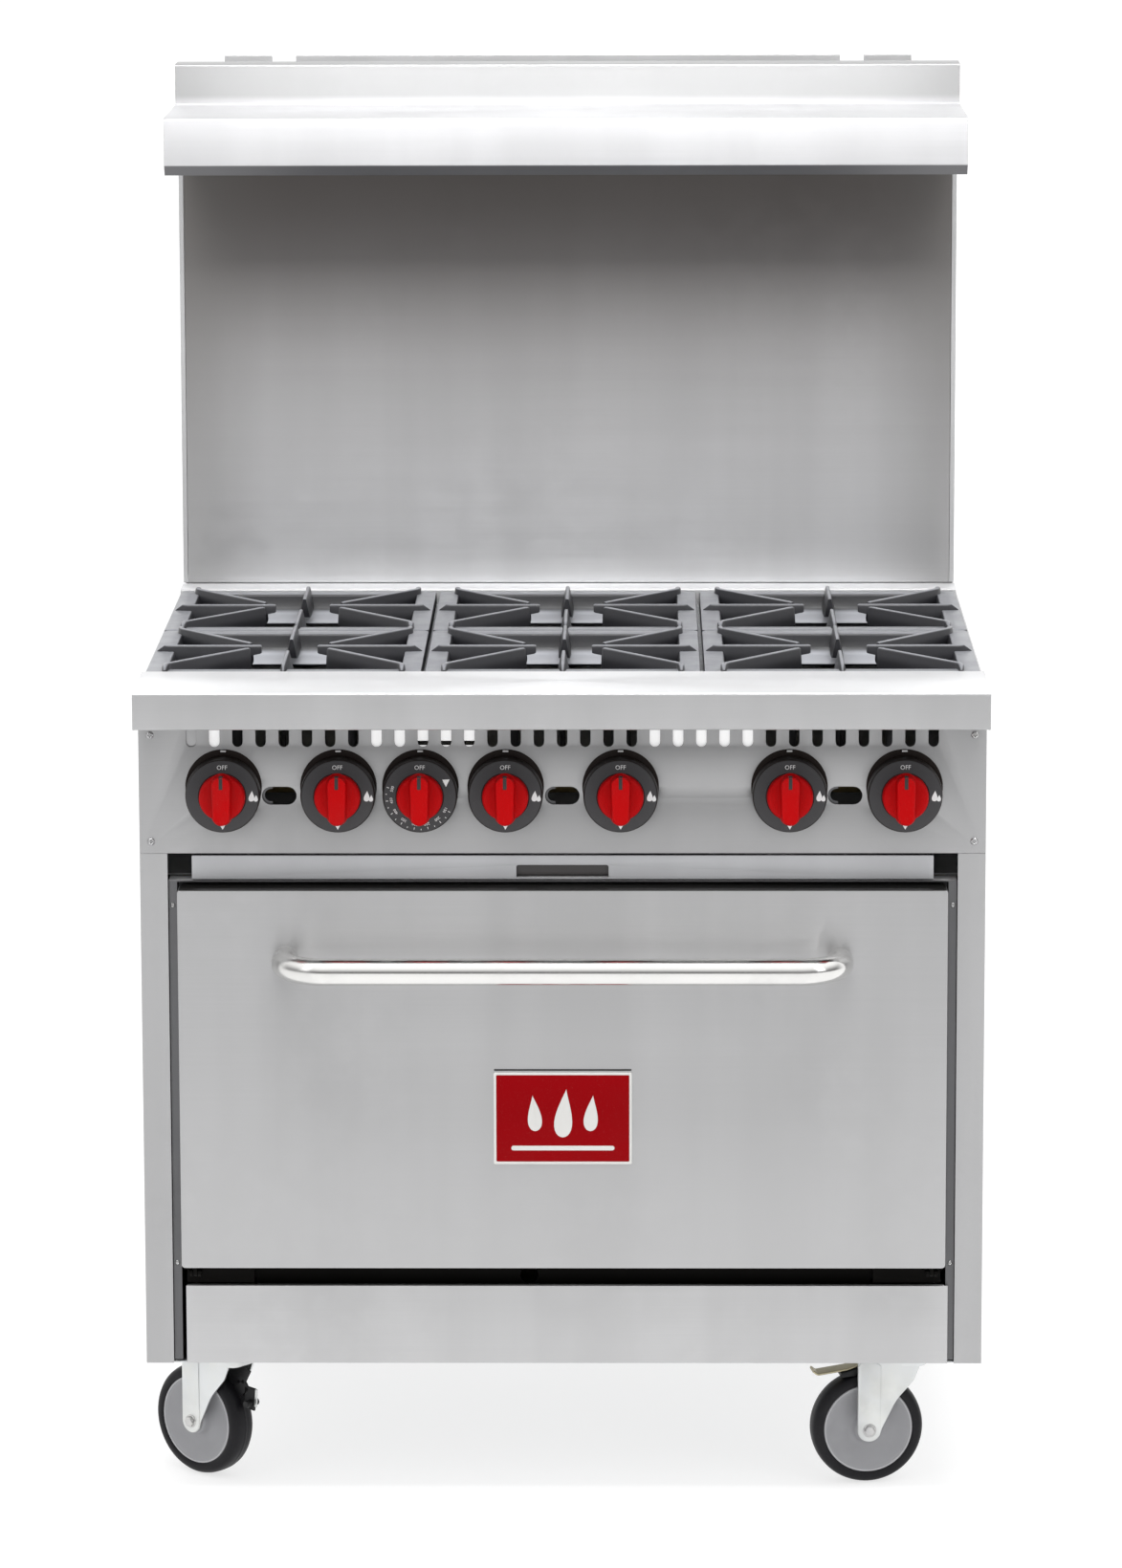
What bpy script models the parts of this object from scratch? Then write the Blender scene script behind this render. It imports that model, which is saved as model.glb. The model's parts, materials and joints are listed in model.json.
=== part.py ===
"""Six-burner commercial gas range with one oven, a flue riser, a high shelf and four casters.

Every shape is worked out in millimetres in the range's own grid: x runs to the right seen from the
front, d runs back from the front face of the control panel, and z runs up from the floor. The nodes
are written in metres about the middle of the footprint, on the floor.
"""
import math

import bmesh
import bpy
import numpy as np
from mathutils import Vector

MM = 0.001
GAP = 0.3
SHEET = 1.5

# Overall sizes.
WIDTH = 914.4
HALF = WIDTH / 2
FRONT = -97.0
BACK = 755.0
HEIGHT = 1531.0
COOKTOP = 914.4
BODY_BOTTOM = 155.0
BODY_TOP = 905.0
MIDDLE = (FRONT + BACK) / 2

# Front of the body.
PANEL_BOTTOM = 725.0
FLANGE_IN = 427.2
KNOB_Z = 792.0
INLET_X = 420.0
BURNER_KNOBS = (-365.5, -241.5, -61.0, 63.0, 245.0, 369.0)
OVEN_KNOB = -153.0
SLOT_PITCH = 25.0
SLOT_COUNT = 33
SLOT_HALF = 5.6
SLOT_Z = (842.0, 882.0)
PILOT_X = (-305.5, 0.0, 305.0)
PILOT_Z = 788.5
PILOT_HALF = (18.7, 9.8)

# Landing rail along the front of the cooktop.
RAIL_FRONT = -77.0
RAIL_BACK = 62.0
RAIL_BOTTOM = 874.0

# Cast grates: three columns of two.
GRATE_WIDE = 300.0
GRATE_DEEP = 280.5
GRATE_TALL = 16.0
GRATE_Z = 896.3
GRATE_GAP = 4.0
GRATE_FRONT = 65.0
GRATE_BACK = 628.0
COLUMNS = tuple(k * (GRATE_WIDE + GRATE_GAP) for k in (-1, 0, 1))
ROWS = (GRATE_FRONT + GRATE_DEEP / 2, GRATE_BACK - GRATE_DEEP / 2)
SEAT_Z = 896.0

# Riser, flue duct and high shelf.
RISER = 675.3
RISER_HALF = 449.0
DUCT_HALF = 454.7
SHELF_Z = 1480.0
SHELF_FRONT = 482.0
SHELF_BACK = 673.5
UPSTAND = 1527.0
LIP_BOTTOM = 1426.0

# Oven.
CAVITY_HALF = 333.0
CAVITY_Z = (295.0, 655.0)
CAVITY_D = (32.0, 612.0)
SHELF_LEDGES = (380.0, 460.0, 540.0)
DOOR_HALF = 416.0
DOOR_Z = (268.0, 689.0)
DOOR_FRONT = -22.0
DOOR_BACK = 28.0
HINGE_D = -6.0
HINGE_Z = 260.0
EYE = 5.5
PIN = 3.0
EARS = ((396.0, 399.0), (405.0, 408.0))
LUG = (400.0, 404.0)
HANDLE_Z = 611.7
HANDLE_D = -82.0
HANDLE_HALF = 299.0
HANDLE_R = 15.0
KICK_X = (-413.0, 420.0)
KICK_TOP = 242.5
TRAY_HALF = 401.2
TRAY_Z = (695.8, 722.0)
TRAY_BACK = 560.0

# Casters.
SWIVEL_X = 372.0
SWIVEL_D = (82.0, 671.0)
TRAIL = 38.0
WHEEL_R = 62.5
FORK_IN = 19.5
FORK_OUT = 22.5
CASTERS = {
    "front_left": (-SWIVEL_X, SWIVEL_D[0], 141.0),
    "front_right": (SWIVEL_X, SWIVEL_D[0], 188.0),
    "rear_left": (-SWIVEL_X, SWIVEL_D[1], -60.0),
    "rear_right": (SWIVEL_X, SWIVEL_D[1], -110.0),
}

STEEL = ("brushed_steel", (0.60, 0.60, 0.61), 0.32, 1.0)
GALVANISED = ("galvanised_steel", (0.50, 0.51, 0.52), 0.45, 1.0)
ENAMEL = ("dark_enamel", (0.03, 0.035, 0.05), 0.30, 0.0)
IRON = ("cast_iron", (0.06, 0.06, 0.065), 0.55, 0.6)
BRIGHT = ("polished_steel", (0.75, 0.75, 0.76), 0.12, 1.0)
RED = ("red_plastic", (0.60, 0.01, 0.015), 0.35, 0.0)
BADGE = ("badge_red", (0.45, 0.01, 0.01), 0.40, 0.0)
ZINC = ("zinc_plate", (0.72, 0.74, 0.75), 0.30, 1.0)
GREY = ("grey_plastic", (0.25, 0.25, 0.27), 0.50, 0.0)
RUBBER = ("black_rubber", (0.015, 0.015, 0.017), 0.60, 0.0)
WOOL = ("mineral_wool", (0.60, 0.52, 0.34), 0.95, 0.0)
BRASS = ("gas_brass", (0.55, 0.42, 0.20), 0.35, 1.0)


def clear_scene():
    for obj in list(bpy.data.objects):
        bpy.data.objects.remove(obj, do_unlink=True)


def material(look):
    """The Principled material of a finish: its name, base colour, roughness and metallic value."""
    name, colour, roughness, metallic = look
    found = bpy.data.materials.get(name)
    if found:
        return found
    made = bpy.data.materials.new(name)
    made.use_nodes = True
    shader = made.node_tree.nodes["Principled BSDF"]
    shader.inputs["Base Color"].default_value = (*colour, 1.0)
    shader.inputs["Roughness"].default_value = roughness
    shader.inputs["Metallic"].default_value = metallic
    made.diffuse_color = (*colour, 1.0)
    return made


def to_metres(point):
    """A point of the range's millimetre grid in metres about the middle of the footprint."""
    x, d, z = point
    return Vector((x * MM, (d - MIDDLE) * MM, z * MM))


def make_mesh(name, shape, scale=MM, sharp=None):
    """A mesh from (points, faces), with flat neighbours merged and its faces turned outwards."""
    points, faces = shape
    mesh = bpy.data.meshes.new(name)
    mesh.from_pydata([tuple(p) for p in points], [], [tuple(f) for f in faces])
    work = bmesh.new()
    work.from_mesh(mesh)
    bmesh.ops.remove_doubles(work, verts=work.verts, dist=1e-4)
    bmesh.ops.dissolve_limit(work, angle_limit=1e-3, verts=work.verts, edges=work.edges)
    bmesh.ops.recalc_face_normals(work, faces=work.faces)
    bmesh.ops.scale(work, vec=(scale, scale, scale), verts=work.verts)
    work.to_mesh(mesh)
    work.free()
    if sharp is not None:
        mesh.shade_smooth()
        mesh.set_sharp_from_angle(angle=math.radians(sharp))
    return mesh


def node(name, shape, look, origin=(0.0, MIDDLE, 0.0), turn=0.0, sharp=None, mesh=None):
    """One sub-part. Its shape is in millimetres from its origin, which is a point of the grid."""
    if mesh is None:
        mesh = make_mesh(name, shape, sharp=sharp)
        mesh.materials.append(material(look))
    obj = bpy.data.objects.new(name, mesh)
    obj.location = to_metres(origin)
    obj.rotation_euler = (0.0, 0.0, turn)
    bpy.context.scene.collection.objects.link(obj)
    return obj


def fixed(name, shape, look, sharp=None):
    """A sub-part whose shape is given straight in the range's grid."""
    points, faces = shape
    moved = np.asarray(points, float) - (0.0, MIDDLE, 0.0)
    return node(name, (moved, faces), look, sharp=sharp)


def about(shape, origin):
    """The shape, given in the grid, as seen from an origin in the grid."""
    points, faces = shape
    return np.asarray(points, float) - origin, faces


def blocks(solids, voids=()):
    """The union of boxes, less other boxes: each box is two opposite corners.

    The corner coordinates cut space into cells. A cell is filled if its centre is in a solid and in
    no void, and a face stands wherever a filled cell meets an empty one.
    """
    boxes = [np.sort(np.array(box, float), axis=0) for box in [*solids, *voids]]
    lines = [np.unique(np.concatenate([box[:, k] for box in boxes])) for k in range(3)]
    centres = np.meshgrid(*[(line[1:] + line[:-1]) / 2 for line in lines], indexing="ij")
    filled = np.zeros(centres[0].shape, bool)
    for index, box in enumerate(boxes):
        inside = np.ones(filled.shape, bool)
        for k in range(3):
            inside &= (centres[k] > box[0, k]) & (centres[k] < box[1, k])
        filled = filled | inside if index < len(solids) else filled & ~inside
    counts = [len(line) for line in lines]
    points = np.stack(np.meshgrid(*lines, indexing="ij"), -1).reshape(-1, 3)
    number = np.arange(len(points)).reshape(counts)
    faces = []
    for k in range(3):
        first, second = [axis for axis in range(3) if axis != k]
        padded = np.pad(filled, [(1, 1) if axis == k else (0, 0) for axis in range(3)])
        step = np.argwhere(np.diff(padded.astype(int), axis=k) != 0)
        for cell in step:
            corners = []
            for a, b in ((0, 0), (1, 0), (1, 1), (0, 1)):
                at = list(cell)
                at[first] += a
                at[second] += b
                corners.append(number[tuple(at)])
            faces.append(corners)
    used, faces = np.unique(np.array(faces), return_inverse=True)
    return points[used], faces.reshape(-1, 4)


def prism(outline, axis, low, high):
    """An outline extruded along x, d or z. The outline's two numbers are the other two, in order."""
    k = "xdz".index(axis)
    count = len(outline)
    points = np.empty((2 * count, 3))
    points[:, [a for a in range(3) if a != k]] = np.tile(np.array(outline, float), (2, 1))
    points[:count, k] = low
    points[count:, k] = high
    faces = [list(range(count))[::-1], list(range(count, 2 * count))]
    for a in range(count):
        b = (a + 1) % count
        faces.append([a, b, b + count, a + count])
    return points, faces


def arc(centre, radius, start, stop, steps):
    """Points round a centre between two angles in degrees."""
    angles = np.radians(np.linspace(start, stop, steps + 1))
    return [(centre[0] + radius * math.cos(a), centre[1] + radius * math.sin(a)) for a in angles]


def obround(centre, half_long, half_wide, upright, steps=3):
    """A slot's outline: two straight sides and two half-round ends."""
    reach = half_long - half_wide
    if upright:
        return (arc((centre[0], centre[1] + reach), half_wide, 0, 180, steps)
                + arc((centre[0], centre[1] - reach), half_wide, 180, 360, steps))
    return (arc((centre[0] + reach, centre[1]), half_wide, -90, 90, steps)
            + arc((centre[0] - reach, centre[1]), half_wide, 90, 270, steps))


def folded(path, thick=SHEET):
    """The outline of sheet metal bent along a path, its thickness to the path's left."""
    path = [np.array(p, float) for p in path]
    sides = []
    for a, b in zip(path[:-1], path[1:]):
        run = (b - a) / np.linalg.norm(b - a)
        sides.append(np.array((-run[1], run[0])))
    inner = [path[0] + thick * sides[0]]
    for corner, before, after in zip(path[1:-1], sides[:-1], sides[1:]):
        mitre = before + after
        inner.append(corner + thick * mitre * 2 / mitre.dot(mitre))
    inner.append(path[-1] + thick * sides[-1])
    return [tuple(p) for p in path + inner[::-1]]


def turned(profile, axis, centre=(0.0, 0.0, 0.0), sides=24, start=0.0):
    """A profile of (radius, height) pairs turned about an axis through the centre.

    A profile whose ends lie on the axis is closed by points there; any other is closed as a ring.
    """
    k = "xdz".index(axis)
    u, v = [a for a in range(3) if a != k]
    solid = profile[0][0] == 0 and profile[-1][0] == 0
    rings = profile[1:-1] if solid else profile
    angles = 2 * math.pi * (np.arange(sides) + start) / sides
    points = np.zeros((len(rings) * sides, 3))
    for index, (radius, height) in enumerate(rings):
        ring = slice(index * sides, (index + 1) * sides)
        points[ring, u] = radius * np.cos(angles)
        points[ring, v] = radius * np.sin(angles)
        points[ring, k] = height
    faces = []
    last = len(rings) - 1 if solid else len(rings)
    for index in range(last):
        low = index * sides
        high = (index + 1) % len(rings) * sides
        for a in range(sides):
            b = (a + 1) % sides
            faces.append([low + a, low + b, high + b, high + a])
    if solid:
        tips = np.zeros((2, 3))
        tips[:, k] = profile[0][1], profile[-1][1]
        base = len(points)
        points = np.concatenate([points, tips])
        for a in range(sides):
            b = (a + 1) % sides
            faces.append([a, b, base])
            faces.append([(len(rings) - 1) * sides + a, (len(rings) - 1) * sides + b, base + 1])
    return points + np.array(centre, float), faces


def tube(path, radius, sides=10):
    """A round bar along a path. Each ring stands square to the mean of its neighbouring runs."""
    path = np.array(path, float)
    runs = np.diff(path, axis=0)
    runs /= np.linalg.norm(runs, axis=1)[:, None]
    ahead = np.vstack([runs[:1], runs[:-1] + runs[1:], runs[-1:]])
    ahead /= np.linalg.norm(ahead, axis=1)[:, None]
    across = np.cross(ahead[0], (0.0, 0.0, 1.0) if abs(ahead[0][2]) < 0.9 else (1.0, 0.0, 0.0))
    angles = 2 * math.pi * np.arange(sides) / sides
    points = []
    for centre, along in zip(path, ahead):
        across = across - along * across.dot(along)
        across /= np.linalg.norm(across)
        other = np.cross(along, across)
        ring = np.outer(np.cos(angles), across) + np.outer(np.sin(angles), other)
        points.append(centre + radius * ring)
    faces = [list(range(sides)), list(range((len(path) - 1) * sides, len(path) * sides))[::-1]]
    for index in range(len(path) - 1):
        for a in range(sides):
            b = (a + 1) % sides
            low = index * sides
            faces.append([low + a, low + sides + a, low + sides + b, low + b])
    return np.concatenate(points), faces


def rod(start, end, radius, sides=12):
    return tube([start, end], radius, sides)


def gather(shapes):
    """Several shapes as one set of points and faces, for a cutter made of separate pieces."""
    points, faces = [], []
    for some_points, some_faces in shapes:
        base = sum(len(p) for p in points)
        points.append(np.asarray(some_points, float))
        faces += [[base + i for i in face] for face in some_faces]
    return np.concatenate(points), faces


def boolean(target, tools, operation):
    """The target joined with, or cut by, each tool in turn, worked out by Boolean modifiers."""
    helpers = []
    for index, shape in enumerate([target, *tools]):
        mesh = make_mesh(f"helper_{index}", shape, scale=1.0)
        helper = bpy.data.objects.new(f"helper_{index}", mesh)
        helper.hide_render = True
        helper.display_type = "WIRE"
        bpy.context.scene.collection.objects.link(helper)
        helpers.append(helper)
    for tool in helpers[1:]:
        modifier = helpers[0].modifiers.new(operation, "BOOLEAN")
        modifier.operation = operation
        modifier.solver = "EXACT"
        modifier.object = tool
    bpy.context.view_layer.update()
    evaluated = helpers[0].evaluated_get(bpy.context.evaluated_depsgraph_get())
    result = evaluated.to_mesh()
    points = [tuple(v.co) for v in result.vertices]
    faces = [list(p.vertices) for p in result.polygons]
    evaluated.to_mesh_clear()
    for helper in helpers:
        mesh = helper.data
        bpy.data.objects.remove(helper, do_unlink=True)
        bpy.data.meshes.remove(mesh)
    return points, faces


def join(target, *tools):
    return boolean(target, tools, "UNION")


def cut(target, *tools):
    return boolean(target, tools, "DIFFERENCE")


def mirrored(box, side):
    """A box given for the right-hand side, on the side asked for: +1 right, -1 left."""
    (x0, d0, z0), (x1, d1, z1) = box
    return (side * x0, d0, z0), (side * x1, d1, z1)


# Body panels.

def make_side_panel(name, side):
    skin = HALF - SHEET
    ledge_in = 395.0
    boxes = [
        ((skin, 0.0, BODY_BOTTOM), (HALF, BACK - SHEET - GAP, PANEL_BOTTOM - GAP)),
        ((skin, SHEET + GAP, PANEL_BOTTOM - 2.0), (HALF, BACK - SHEET - GAP, BODY_TOP)),
        ((FLANGE_IN, 0.0, BODY_BOTTOM), (HALF, SHEET, PANEL_BOTTOM - GAP)),
        ((HALF - 20.0, BACK - 2 * SHEET - GAP, BODY_BOTTOM), (HALF, BACK - SHEET - GAP, BODY_TOP)),
        ((HALF - 14.0, RAIL_BACK + 19.0, SEAT_Z - SHEET), (HALF, GRATE_BACK - 17.0, SEAT_Z)),
        ((ledge_in, 40.0, TRAY_Z[0] - 1.0 - SHEET), (HALF, TRAY_BACK, TRAY_Z[0] - 1.0)),
    ]
    fixed(name, blocks([mirrored(box, side) for box in boxes]), STEEL)


def make_back_panel():
    pipe_hole = 15.0
    sheet = blocks([((-HALF + SHEET, BACK - SHEET, BODY_BOTTOM + 3.0),
                     (HALF - SHEET, BACK, BODY_TOP))])
    hole = rod((INLET_X, BACK - 10.0, KNOB_Z), (INLET_X, BACK + 10.0, KNOB_Z), pipe_hole, 12)
    fixed("back_panel", cut(sheet, hole), GALVANISED)


def make_base_panel():
    """The floor sheet with turned-up edges, and the four plates that the casters bolt to."""
    floor = BODY_BOTTOM + GAP
    side_in = HALF - SHEET - GAP
    rear = BACK - 2 * SHEET - 2 * GAP
    boxes = [((-side_in, 2.0, floor), (side_in, rear, floor + SHEET))]
    boxes += [mirrored(((side_in - SHEET, 2.0, floor), (side_in, rear, floor + 25.0)), side)
              for side in (-1, 1)]
    boxes.append(((-side_in, rear - SHEET, floor), (side_in, rear, floor + 25.0)))
    for x, d, _ in CASTERS.values():
        boxes.append(((x - 45.0, d - 38.0, BODY_BOTTOM - 4.0), (x + 45.0, d + 38.0, floor + 0.5)))
    fixed("base_panel", blocks(boxes), GALVANISED)


def make_kick_panel():
    left, right = KICK_X
    boxes = [
        ((left, 0.0, BODY_BOTTOM), (right, SHEET, KICK_TOP)),
        ((left + 1.0, 0.0, KICK_TOP - SHEET), (right - 4.0, 7.0, KICK_TOP)),
    ]
    fixed("kick_panel", blocks(boxes), STEEL)


def make_control_panel():
    sheet = blocks([
        ((-HALF, 0.0, PANEL_BOTTOM), (HALF, SHEET, BODY_TOP)),
        ((-FLANGE_IN, 0.0, PANEL_BOTTOM), (FLANGE_IN, 20.0, PANEL_BOTTOM + SHEET)),
    ])
    near, far = -5.0, 5.0
    first = -(SLOT_COUNT - 1) / 2
    slot_middle, slot_reach = sum(SLOT_Z) / 2, (SLOT_Z[1] - SLOT_Z[0]) / 2
    cutters = [prism(obround(((first + k) * SLOT_PITCH, slot_middle), slot_reach, SLOT_HALF, True),
                     "d", near, far) for k in range(SLOT_COUNT)]
    cutters += [prism(obround((x, PILOT_Z), *PILOT_HALF, False), "d", near, far) for x in PILOT_X]
    cutters += [rod((x, near, KNOB_Z), (x, far, KNOB_Z), 6.0, 8) for x in (*BURNER_KNOBS, OVEN_KNOB)]
    fixed("control_panel", cut(sheet, gather(cutters)), STEEL)


# Cooktop.

def make_front_rail():
    path = [(RAIL_BACK + 18.0, SEAT_Z), (RAIL_BACK, SEAT_Z), (RAIL_BACK, COOKTOP),
            (RAIL_FRONT, COOKTOP), (RAIL_FRONT, RAIL_BOTTOM), (RAIL_FRONT + 17.0, RAIL_BOTTOM)]
    inner = HALF - SHEET - GAP
    body = prism(folded(path), "x", -inner, inner)
    caps = []
    for side in (-1, 1):
        low, high = sorted((side * (inner - 1.0), side * HALF))
        ends = blocks([
            ((low, RAIL_FRONT, RAIL_BOTTOM), (high, -GAP, COOKTOP)),
            ((low, RAIL_FRONT, BODY_TOP + GAP), (high, RAIL_BACK, COOKTOP)),
        ])
        caps.append(ends)
    fixed("front_rail", join(body, *caps), STEEL)


def make_back_ledge():
    path = [(RISER - 0.6, COOKTOP - 14.0), (RISER - 0.6, COOKTOP), (GRATE_BACK + 2.0, COOKTOP),
            (GRATE_BACK + 2.0, SEAT_Z), (GRATE_BACK - 16.0, SEAT_Z)]
    inner = HALF - SHEET - GAP
    fixed("back_ledge", prism(folded(path), "x", -inner, inner), STEEL)


def make_grate_support(name, x):
    half, deep = 14.0, 22.0
    low, high = RAIL_BACK + 19.0, GRATE_BACK - 17.0
    boxes = [
        ((x - half, low, SEAT_Z - SHEET), (x + half, high, SEAT_Z)),
        ((x - half, low, SEAT_Z - deep), (x - half + SHEET, high, SEAT_Z)),
        ((x + half - SHEET, low, SEAT_Z - deep), (x + half, high, SEAT_Z)),
    ]
    fixed(name, blocks(boxes), GALVANISED)


def finger(start, end, half, low, high):
    """A straight finger of a grate between two points of its plan, square at both ends."""
    start, end = np.array(start, float), np.array(end, float)
    run = (end - start) / np.linalg.norm(end - start)
    side = half * np.array((-run[1], run[0]))
    return prism([start + side, start - side, end - side, end + side], "z", low, high)


def grate_shape():
    """Outer frame, square air bowl under it, and eight fingers that point at the burner."""
    wide, deep = GRATE_WIDE / 2, GRATE_DEEP / 2
    ledge, wall, drop, throat = 22.0, 4.0, -12.0, 62.0
    frame = blocks(
        [((-wide, -deep, 0.0), (wide, deep, GRATE_TALL)),
         ((-wide + ledge - wall, -deep + ledge - wall, drop),
          (wide - ledge + wall, deep - ledge + wall, 1.0))],
        [((-wide + ledge, -deep + ledge, drop + wall), (wide - ledge, deep - ledge, GRATE_TALL + 1)),
         ((-throat, -throat, drop - 1.0), (throat, throat, GRATE_TALL + 1))],
    )
    top = GRATE_TALL + 7.0
    fingers = []
    for s in (-1, 1):
        fingers.append(finger((s * (wide - 6.0), 0.0), (s * 31.0, 0.0), 4.5, 4.0, top))
        fingers.append(finger((0.0, s * (deep - 5.0)), (0.0, s * 38.0), 4.0, 4.0, top + 1.0))
        for t in (-1, 1):
            fingers.append(finger((s * 133.0, t * 121.0), (s * 44.0, t * 17.0), 4.5, 5.0, top))
    return join(frame, *fingers)


def make_grates():
    mesh = None
    for row, d in zip(("front", "rear"), ROWS):
        for column, x in zip(("left", "centre", "right"), COLUMNS):
            obj = node(f"grate_{row}_{column}", grate_shape() if mesh is None else None, IRON,
                       (x, d, GRATE_Z), mesh=mesh)
            mesh = obj.data


def burner_shape(row_d, knob_side):
    """A ported round head fed by a tube that starts at the valve. Its origin is the head's foot."""
    head_z, top_z, head_r, tube_r = 850.0, 878.0, 42.0, 12.0
    reach = 61.5 * knob_side
    mouth = 92.0 - row_d
    rise = 862.0 - head_z
    low = KNOB_Z - head_z
    path = [(reach, mouth, low), (reach, mouth + 45.0, low), (reach, -34.0, rise - 8.0),
            (reach, -14.0, rise), (reach * 0.75, 0.0, rise), (0.0, 0.0, rise)]
    head = turned([(0, 0), (head_r - 8, 0), (head_r, 8), (head_r, top_z - head_z - 8),
                   (head_r - 4, top_z - head_z), (0, top_z - head_z)], "z", sides=20)
    return join(head, tube(path, tube_r, 8))


def make_burners():
    for row, d, side in (("front", ROWS[0], -1), ("rear", ROWS[1], 1)):
        mesh = None
        for column, x in zip(("left", "centre", "right"), COLUMNS):
            middle = x + (1.5 if column != "left" else 0.0) * (1.0 if column == "centre" else 2.0)
            obj = node(f"burner_{row}_{column}", burner_shape(d, side) if mesh is None else None,
                       IRON, (middle, d, 850.0), sharp=40, mesh=mesh)
            mesh = obj.data


# Riser and high shelf.

def make_riser():
    fixed("riser_panel", blocks([((-RISER_HALF, RISER, COOKTOP + 0.6),
                                  (RISER_HALF, RISER + SHEET, UPSTAND - SHEET - GAP))]), STEEL)


def make_flue_duct():
    """Back sheet with three top tabs, and two sides whose front edges frame the riser panel."""
    low, side_top, back_top = BODY_TOP + GAP, UPSTAND - 7.0, UPSTAND - 9.0
    boxes = [((-DUCT_HALF, BACK - SHEET, low), (DUCT_HALF, BACK, back_top))]
    for left, right in ((-404.0, -348.0), (-320.0, 320.0), (348.0, 404.0)):
        boxes.append(((left, BACK - SHEET, low), (right, BACK, HEIGHT)))
    for side in (-1, 1):
        boxes.append(mirrored(((DUCT_HALF - SHEET, RISER, COOKTOP + 0.6),
                               (DUCT_HALF, BACK, side_top)), side))
        boxes.append(mirrored(((RISER_HALF + GAP, RISER, COOKTOP + 0.6),
                               (DUCT_HALF, RISER + SHEET, side_top)), side))
    fixed("flue_duct", blocks(boxes), STEEL)


def make_high_shelf():
    path = [(SHELF_BACK + 41.5, UPSTAND), (SHELF_BACK, UPSTAND), (SHELF_BACK, SHELF_Z),
            (SHELF_FRONT, SHELF_Z), (SHELF_FRONT, LIP_BOTTOM), (SHELF_FRONT + 9.0, LIP_BOTTOM - 12.0)]
    body = prism(folded(path), "x", -HALF, HALF)
    ends = []
    for side in (-1, 1):
        low, high = sorted((side * (HALF - SHEET), side * HALF))
        outline = [(SHELF_FRONT + 0.5, SHELF_Z - 0.5), (SHELF_FRONT + 0.5, LIP_BOTTOM + 1.0),
                   (SHELF_BACK + 0.5, SHELF_Z - 24.0), (SHELF_BACK + 0.5, SHELF_Z - 0.5)]
        ends.append(prism(outline, "x", low, high))
    fixed("high_shelf", join(body, *ends), STEEL)


# Oven.

def make_oven_cavity():
    wall = 3.0
    low, high = CAVITY_Z
    near, far = CAVITY_D
    half = CAVITY_HALF
    solids = [((-half - wall, near, low - wall), (half + wall, far, high + wall))]
    voids = [
        ((-half, near - 1.0, low), (half, far - wall, high)),
        ((-half + 30.0, near - 1.0, low - wall - 1.0), (half - 30.0, far - 30.0, low + 1.0)),
    ]
    shell = blocks(solids, voids)
    ledges = []
    for side in (-1, 1):
        for z in SHELF_LEDGES:
            inner, outer = sorted((side * (half - 12.0), side * (half + 1.0)))
            ledges.append(blocks([((inner, near + 30.0, z), (outer, far - 25.0, z + wall))]))
    fixed("oven_cavity", join(shell, *ledges), ENAMEL)


def make_oven_deck():
    fixed("oven_deck", blocks([((-CAVITY_HALF + 1.0, CAVITY_D[0] + 1.0, CAVITY_Z[0] + GAP),
                                (CAVITY_HALF - 1.0, CAVITY_D[1] - 5.0, CAVITY_Z[0] + 3.0))]), ENAMEL)


def make_oven_rack():
    """A square-wire rack that rests on the middle pair of ledges."""
    half, wire, bars = 328.0, 4.5, 11
    near, far = CAVITY_D[0] + 20.0, CAVITY_D[1] - 22.0
    low = SHELF_LEDGES[1] + 3.0 + GAP
    high = low + wire
    boxes = [((-half, d, low), (half, d + wire, high)) for d in (near, (near + far) / 2, far - wire)]
    for k in range(bars):
        x = -half + k * (2 * half - wire) / (bars - 1)
        boxes.append(((x, near, low), (x + wire, far, high)))
    fixed("oven_rack", blocks(boxes), BRIGHT)


def make_oven_surround():
    """The face frame round the oven mouth, with its jamb strips, top ledge and lighting sill."""
    strip_in, strip_out, strip_front = 417.5, 426.5, 4.0
    face = (29.5, 31.0)
    top, bottom, sill = 694.3, 266.0, 236.0
    sill_half, sill_front, light_x, light_z = 336.0, 18.0, -37.6, 250.0
    boxes = [
        ((-strip_in - 1.0, face[0], bottom), (strip_in + 1.0, face[1], top)),
        ((-strip_out, strip_front, top - SHEET), (strip_out, face[1], top)),
        ((-sill_half, sill_front, sill), (sill_half, sill_front + SHEET, bottom)),
        ((-sill_half, sill_front, bottom - SHEET), (sill_half, face[1], bottom)),
    ]
    for side in (-1, 1):
        boxes.append(mirrored(((strip_in, strip_front, BODY_BOTTOM + 3.0),
                               (strip_out, strip_front + SHEET, top)), side))
        boxes.append(mirrored(((strip_in, strip_front, BODY_BOTTOM + 3.0),
                               (strip_in + SHEET, face[1], top)), side))
    mouth = ((-CAVITY_HALF, face[0] - 1.0, CAVITY_Z[0]), (CAVITY_HALF, face[1] + 1.0, CAVITY_Z[1]))
    light = rod((light_x, sill_front - 5.0, light_z), (light_x, sill_front + 5.0, light_z), 10.0)
    frame = join(blocks(boxes, [mouth]), *hinge_bracket(-1), *hinge_bracket(1))
    fixed("oven_surround", cut(frame, light), STEEL)


def make_oven_insulation():
    """Mineral wool over the cavity's top, sides and back."""
    near, far, thick = CAVITY_D[0] + 13.0, CAVITY_D[1] + 2.0, 26.0
    inner, outer = CAVITY_HALF + 4.5, 418.0
    top = CAVITY_Z[1] + 5.0
    solid = ((-outer, near, BODY_BOTTOM + 100.0), (outer, far + thick, top + thick - 1.0))
    void = ((-inner, near - 1.0, BODY_BOTTOM + 99.0), (inner, far, top))
    fixed("oven_insulation", blocks([solid], [void]), WOOL)


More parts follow.
